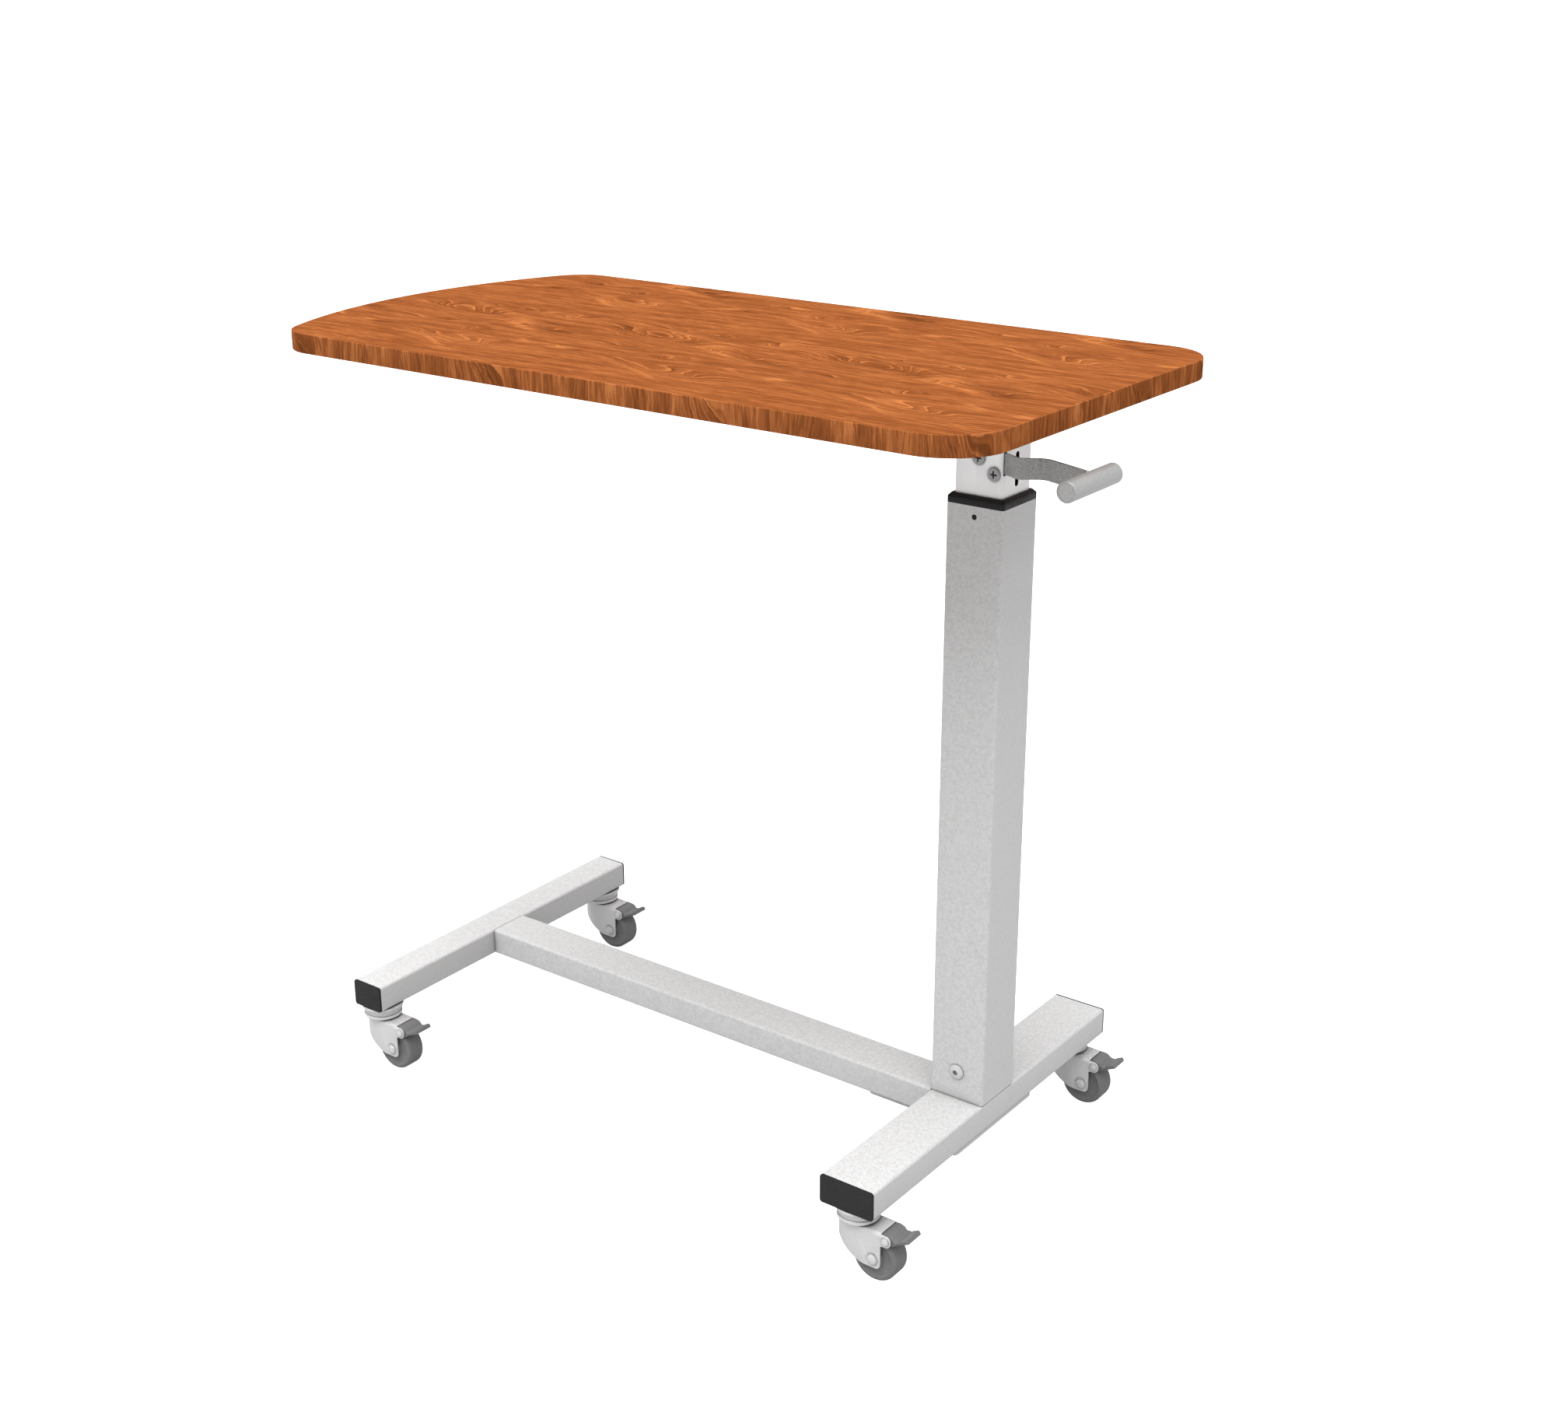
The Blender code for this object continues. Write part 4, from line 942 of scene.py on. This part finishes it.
def make_tabletop():
    """Board with its printed laminate, and the edge band with softly rounded rims."""
    start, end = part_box("tabletop")
    outline = top_outline(BAND + BAND_FIT)
    holes = []
    for screw in map(middle, SCREWS):
        place = (screw.x, screw.y, start.z)
        holes.append(rod(SCREW_HOLE, -0.005, SCREW_DEPTH, centre=place, sides=32))
    build("tabletop", prism(outline, start.z, end.z), "laminate_top", "lift", cuts(*holes))
    rims = rounding(BAND_ROUND, 4)
    rows = [(BAND, start.z)] + [(inset, start.z + rise) for inset, rise in rims]
    rows += [(inset, end.z - rise) for inset, rise in reversed(rims)] + [(BAND, end.z)]
    shape = stack([(top_outline(inset), z) for inset, z in rows], "Z", True)
    lay_grain(shape, top_outline(BAND), start.z)
    build("tabletop_edge_band", shape, "laminate_edge", "lift")


def lay_grain(shape, outline, base):
    """Grain coordinates of the band: height, and distance round the outline."""
    reach = [0.0]
    ring = [Vector(p) for p in outline]
    for a, b in zip(ring, ring[1:] + ring[:1]):
        reach.append(reach[-1] + (b - a).length)
    layer = shape.loops.layers.uv.new("grain")
    count = len(ring)
    shape.verts.index_update()
    for face in shape.faces:
        columns = [loop.vert.index % count for loop in face.loops]
        wraps = max(columns) - min(columns) > 1
        for loop, column in zip(face.loops, columns):
            distance = reach[count] if wraps and column == 0 else reach[column]
            loop[layer].uv = (GRAIN_START + loop.vert.co.z - base, distance)


# ---- lever
STRIP_THICKNESS = 0.003
STRIP_BENDS = ((0.0275, -0.0212, 0.012), (0.0437, -0.0294, 0.007), (0.0629, -0.0161, 0.014))
STRIP_START = (0.0065, -0.0212)
STRIP_LOW = 0.7385
TONGUE_LOW = 0.741
TONGUE_END = 0.009  # beyond the column's middle
HUB_RADIUS = 0.006
HUB_BORE = 0.00304
GRIP_SOFT = 0.0012
GRIP_GROOVE = 0.00012


def make_lever():
    """Bent steel strip with its hub and tongue, and the round grip across its end."""
    pivot = Vector(JOINTS["lever_release"]["pos_m"])
    column = middle("column_tube").x
    top = high("lever_strip").z
    grip = middle("lever_grip")
    radius, half = size("lever_grip").x / 2, size("lever_grip").y / 2
    path = bent_path(STRIP_START, STRIP_BENDS, (grip.x - column, grip.y))
    path = [(x + column - pivot.x, y) for x, y in path]
    shape = prism(thicken(path, STRIP_THICKNESS), STRIP_LOW - pivot.z, top - pivot.z)
    near, far = STRIP_START[1] - STRIP_THICKNESS / 2, STRIP_START[1] + STRIP_THICKNESS / 2
    tongue_low = TONGUE_LOW - pivot.z
    tongue = box(
        (low("lever_strip").x - pivot.x, near + 0.001, tongue_low),
        (column + TONGUE_END - pivot.x, high("lever_strip").y, tongue_low + STRIP_THICKNESS),
    )
    changes = [("UNION", rod(HUB_RADIUS, -far, -near, "Y")), ("UNION", tongue)]
    changes += cuts(bore(HUB_BORE), bore(radius + GAP, grip.x - pivot.x, grip.z - pivot.z))
    build("lever_strip", shape, "bare_steel", "lever", changes, 0.0004, pivot)
    inside, outside = radius - GRIP_SOFT * 1.6, radius - GRIP_SOFT * 1.4
    floor = half - GRIP_GROOVE
    end = [(0, half), (inside, half), (inside, floor), (outside, floor), (outside, half)]
    end += [(radius - inset, half - depth) for inset, depth in rounding(GRIP_SOFT, 6)]
    shape = turned(end + flipped(end), "Y", 80)
    build("lever_grip", shape, "grip_metal", "lever", place=grip)


# ---- casters
FORK_HALF = 0.014
FORK_SHEET = 0.0018
FORK_TOP = 0.056
FORK_ROOF = 0.002
FORK_REAR = 0.034
FORK_SIDE_END = 0.005
FORK_NOSE = 0.026
FORK_SHOULDER = 0.003
LUG_RADIUS = 0.006
CUP_TOP = 0.0613
KINGPIN_HOLE = 0.0041
AXLE_HOLE = 0.0031
PEDAL_PIN_HOLE = 0.0016
RACE_RADIUS = 0.0228
TREAD_HALF = 0.0075
WHEEL_HALF = 0.0112
HUB_HALF = 0.0118
WEB_HALF = 0.0095


def fork_plan(inset, rear):
    """Outline of the fork from above: flat sides and an elliptic front."""
    half, nose = FORK_HALF - inset, FORK_NOSE - inset
    front = [(FORK_SIDE_END + nose * x, half * y) for x, y in arc((0, 0), 1, 90, 270, 36)]
    return front + [(rear, -half), (rear, half)]


def fork_block(inset, rear, bottom, top, shoulder):
    """Solid fork outline whose upper edge is rounded over."""
    rows = [(inset, bottom)]
    rows += [(inset + turn_in, top - depth) for turn_in, depth in reversed(rounding(shoulder, 6))]
    return stack([(fork_plan(reach, rear), z) for reach, z in rows])


def fork_side(pivot):
    """Side outline of the fork: sloping front, axle corner, notch and the pedal's lug."""
    front = [(-0.0225, 0.0370), (-0.0195, 0.0350), (-0.0073, 0.0264), (0.0010, 0.0215)]
    front += [(0.0095, 0.0172), (0.0150, 0.0160)]
    outline = [(-0.024, 0.070), (-0.024, 0.0382)] + smooth_line(front, 6)
    outline += arc((0.0285, 0.0210), 0.005, 270, 360, 10)
    outline += [(0.0335, 0.0412), (0.0337, 0.0421), (0.0345, 0.0426)]
    outline += arc(pivot, LUG_RADIUS, 262, 450, 24)
    outline += [(FORK_REAR, pivot[1] + LUG_RADIUS), (FORK_REAR, 0.070)]
    return outline


def fork_mesh(axle, pivot):
    inside = FORK_HALF - FORK_SHEET
    outer = fork_block(0, 0.050, 0.010, FORK_TOP, FORK_SHOULDER)
    inner = fork_block(FORK_SHEET, 0.060, 0.0, FORK_TOP - FORK_ROOF, FORK_SHOULDER - FORK_SHEET)
    changes = cuts(inner, box((FORK_REAR, -inside, 0.030), (0.060, inside, 0.070)))
    changes.append(("INTERSECT", prism(fork_side(pivot), -THROUGH, THROUGH, "Y")))
    changes += cuts(rod(KINGPIN_HOLE, 0.030, 0.080), bore(AXLE_HOLE, *axle), bore(PEDAL_PIN_HOLE, *pivot))
    return shaped_mesh("fork", outer, changes, 0.0003)


def cup_mesh():
    """Pressed bearing cup on the fork's roof, with its rolled flange."""
    profile = [(KINGPIN_HOLE, CUP_TOP - 0.0006), (KINGPIN_HOLE, FORK_TOP), (0.0130, FORK_TOP)]
    profile += [(0.0140, FORK_TOP + 0.0006), (0.0186, FORK_TOP + 0.0011)]
    profile += arc((0.0196, FORK_TOP + 0.0024), 0.0013, 270, 360, 6)
    profile += arc((0.0196, CUP_TOP - 0.0013), 0.0013, 0, 90, 6)
    profile += [(0.0170, CUP_TOP), (0.0162, CUP_TOP - 0.0006)]
    return shaped_mesh("cup", turned(profile))


def race_mesh():
    """Stem, upper race and kingpin in one."""
    bottom, top = [corner.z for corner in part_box("caster_column_near_stem_race")]
    seat = low("column_foot_bar").z - GAP
    head = FORK_TOP - FORK_ROOF - GAP
    profile = [(0, top), (0.0040, top), (0.0050, top - 0.001), (0.0050, seat)]
    profile += [(RACE_RADIUS - inset, seat - depth) for inset, depth in rounding(0.0006, 4)]
    profile += [(RACE_RADIUS, seat - 0.0024), (RACE_RADIUS - 0.0005, seat - 0.0029)]
    profile += [(0.0203, CUP_TOP + 0.0010), (0.0200, CUP_TOP + GAP), (0.0040, CUP_TOP + GAP)]
    profile += [(0.0040, head), (0.0070, head), (0.0066, head - 0.0014), (0.0050, bottom), (0, bottom)]
    return shaped_mesh("race", turned(profile))


def wheel_mesh():
    """Wheel with a crowned tread, a recessed web and a raised hub."""
    radius = size("caster_column_near_wheel").z / 2
    side = [(0.0032, HUB_HALF), (0.0068, HUB_HALF), (0.0074, HUB_HALF - 0.0004)]
    side += [(0.0082, WEB_HALF + 0.0005), (0.0090, WEB_HALF)]
    side += [(0.0172, WEB_HALF), (0.0180, WEB_HALF + 0.0004)]
    side += [(0.0196, WHEEL_HALF - 0.0003), (0.0203, WHEEL_HALF)]
    depth, width = 0.0042, WHEEL_HALF - TREAD_HALF
    crown = [(radius - depth * (1 - cos(a)), TREAD_HALF + width * sin(a)) for a in quarter(10)[:-1]]
    side += crown[::-1] + [(radius, TREAD_HALF * 0.5)]
    return shaped_mesh("wheel", turned(side + flipped(side), "Y", 96))


# Rivets: radius, head radius, head height, width of the head's turned rim
AXLE_RIVET = (0.003, 0.0062, 0.0026, 0.0008)
PEDAL_RIVET = (0.0015, 0.0046, 0.0020, 0.0007)


def rivet_mesh(name, radius, head, height, rim):
    """Rivet through both fork plates: a domed head with a turned rim at each end."""
    face = FORK_HALF + GAP
    end = dome(head - rim, height - 0.0005, face + 0.0005)
    end += [(head - rim * 0.6, face + 0.0007), (head, face + 0.0004), (head, face), (radius, face)]
    return shaped_mesh(name, turned(end + flipped(end), "Y"))


RIB_START = 0.0535
RIB_PITCH = 0.0017
RIB_HEIGHT = 0.0009
# Stations of the pedal from the fork to its tip: upper edge, lower edge and half width.
# It widens only beyond the fork's lugs.
PEDAL = (
    (0.0350, 0.0555, 0.0348, 0.0500, 0.0119),
    (0.0385, 0.0562, 0.0368, 0.0472, 0.0119),
    (0.0425, 0.0553, 0.0402, 0.0450, 0.0119),
    (0.0455, 0.0537, 0.0432, 0.0444, 0.0119),
    (0.0478, 0.0522, 0.0458, 0.0454, 0.0120),
    (0.0500, 0.0517, 0.0485, 0.0473, 0.0131),
    (0.0523, 0.0526, 0.0517, 0.0489, 0.0118),
    (0.0565, 0.0549, 0.0573, 0.0512, 0.0112),
    (0.0606, 0.0573, 0.0629, 0.0538, 0.0110),
)


def pedal_mesh(pivot):
    """Brake pedal lofted along its length: hood, waist, ribbed toe."""
    sections = []
    for top_x, top_z, low_x, low_z, half in smooth_line(PEDAL, 8):
        rib = 0.0
        if top_x > RIB_START:
            rib = RIB_HEIGHT * sin((top_x - RIB_START) / RIB_PITCH * pi) ** 2
        upper = Vector((top_x - pivot[0], 0, top_z + rib - pivot[1]))
        lower = Vector((low_x - pivot[0], 0, low_z - pivot[1]))
        rise = (upper - lower).length
        soft = min(0.0011, rise * 0.3)
        outline = rounded_rectangle(2 * half, rise, soft, 4)
        up = (upper - lower).normalized()
        centre = (upper + lower) / 2
        sections.append([centre + Vector((0, y, 0)) + up * z for y, z in outline])
    return shaped_mesh("pedal", loft(sections), cuts(bore(PEDAL_PIN_HOLE)))


def make_casters():
    """Four casters that share their meshes; a part has a mesh, a slot, a body to ride and a place."""
    swivel = middle("caster_column_near_stem_race")
    axle_place = middle("caster_column_near_wheel")
    pivot_place = middle("caster_column_near_pedal_pin")
    axle = (axle_place.x - swivel.x, axle_place.z)
    pivot = (pivot_place.x - swivel.x, pivot_place.z)
    parts = (
        ("stem_race", race_mesh(), "zinc_plate", "base", (0, 0)),
        ("fork", fork_mesh(axle, pivot), "fork_steel", "swivel", (0, 0)),
        ("wheel", wheel_mesh(), "grey_rubber", "wheel", axle),
        ("axle", rivet_mesh("axle", *AXLE_RIVET), "zinc_plate", "swivel", axle),
        ("pedal_pin", rivet_mesh("pedal_pin", *PEDAL_RIVET), "zinc_plate", "swivel", pivot),
        ("pedal", pedal_mesh(pivot), "pedal_plastic", "pedal", pivot),
    )
    cup = cup_mesh()
    for where in CASTERS:
        prefix = f"caster_{where}"
        stand = middle(f"{prefix}_stem_race")
        for part, mesh, slot, rider, (x, z) in parts:
            body = "base" if rider == "base" else f"{prefix}_{rider}"
            place = (stand.x + x, stand.y, z)
            add_piece(f"{prefix}_{part}_fine", mesh, slot, body, f"{prefix}_{part}", place)
        place = (stand.x, stand.y, 0)
        add_piece(f"{prefix}_cup_fine", cup, "fork_steel", f"{prefix}_swivel", f"{prefix}_fork", place)


# ---- carried-over nodes
HIDDEN_PARTS = {
    "anchor_post": "bare_steel",
    "gas_spring_cylinder": "black_plastic",
    "gas_spring_rod": "zinc_plate",
    "release_pin": "zinc_plate",
    "release_head": "bare_steel",
    "inner_tube_glide": "black_plastic",
}


def finish_hidden_parts():
    for node, slot in HIDDEN_PARTS.items():
        mesh = frame["nodes"][node].data
        mesh.materials.clear()
        mesh.materials.append(MATERIALS[slot])


# ---- studio
CAMERA_PLACE = (1.268, -1.617, 1.203)
CAMERA_TURN = (69.451, -0.055, 36.528)  # degrees: tilt, roll and heading
CAMERA_LENS = 48.88
SKY = 0.70
SUN = 4.2
SUN_SIZE = 67  # degrees across
SUN_TURN = (14, 0, 3)  # degrees
FLOOR_GLOW = 0.95
FLOOR_HALF = 60
FLOOR_DEPTH = 0.02


def make_studio():
    """White world that lights less than it shows, one broad sun and a floor."""
    scene = bpy.context.scene
    scene.view_settings.view_transform = "Standard"
    world = bpy.data.worlds.new("studio")
    world.use_nodes = True
    nodes, links = world.node_tree.nodes, world.node_tree.links
    sky = nodes["Background"].inputs
    sky["Color"].default_value = (1, 1, 1, 1)
    strength = nodes.new("ShaderNodeMapRange")
    strength.inputs["To Min"].default_value = SKY
    strength.inputs["To Max"].default_value = 1.0
    links.new(nodes.new("ShaderNodeLightPath").outputs["Is Camera Ray"], strength.inputs["Value"])
    links.new(strength.outputs["Result"], sky["Strength"])
    scene.world = world
    light = bpy.data.lights.new("soft_top_light", "SUN")
    light.energy = SUN
    light.angle = radians(SUN_SIZE)
    sun = bpy.data.objects.new("soft_top_light", light)
    sun.rotation_euler = [radians(a) for a in SUN_TURN]
    scene.collection.objects.link(sun)
    slab = box((-FLOOR_HALF, -FLOOR_HALF, -FLOOR_DEPTH), (FLOOR_HALF, FLOOR_HALF, 0))
    floor = new_object("floor", slab)
    floor.data.materials.append(studio_floor())


def make_camera():
    camera = bpy.data.cameras.new("camera")
    camera.lens = CAMERA_LENS
    camera.sensor_fit = "HORIZONTAL"
    obj = bpy.data.objects.new("camera", camera)
    tilt, roll, heading = [radians(a) for a in CAMERA_TURN]
    turn = Matrix.Rotation(heading, 4, "Z") @ Matrix.Rotation(tilt, 4, "X") @ Matrix.Rotation(roll, 4, "Z")
    obj.matrix_world = Matrix.Translation(CAMERA_PLACE) @ turn
    bpy.context.scene.collection.objects.link(obj)
    bpy.context.scene.camera = obj


# ---- assembly
for bar in ("column_foot_bar", "free_foot_bar"):
    make_foot_bar(bar)
make_base_rail()
make_base_plate()
make_column()
make_collar()
make_collar_pin()
make_base_bolts()
make_inner_tube()
make_top_support()
make_top_screws()
make_tabletop()
make_tube_bolts()
make_lever()
make_casters()
finish_hidden_parts()
make_studio()
make_camera()
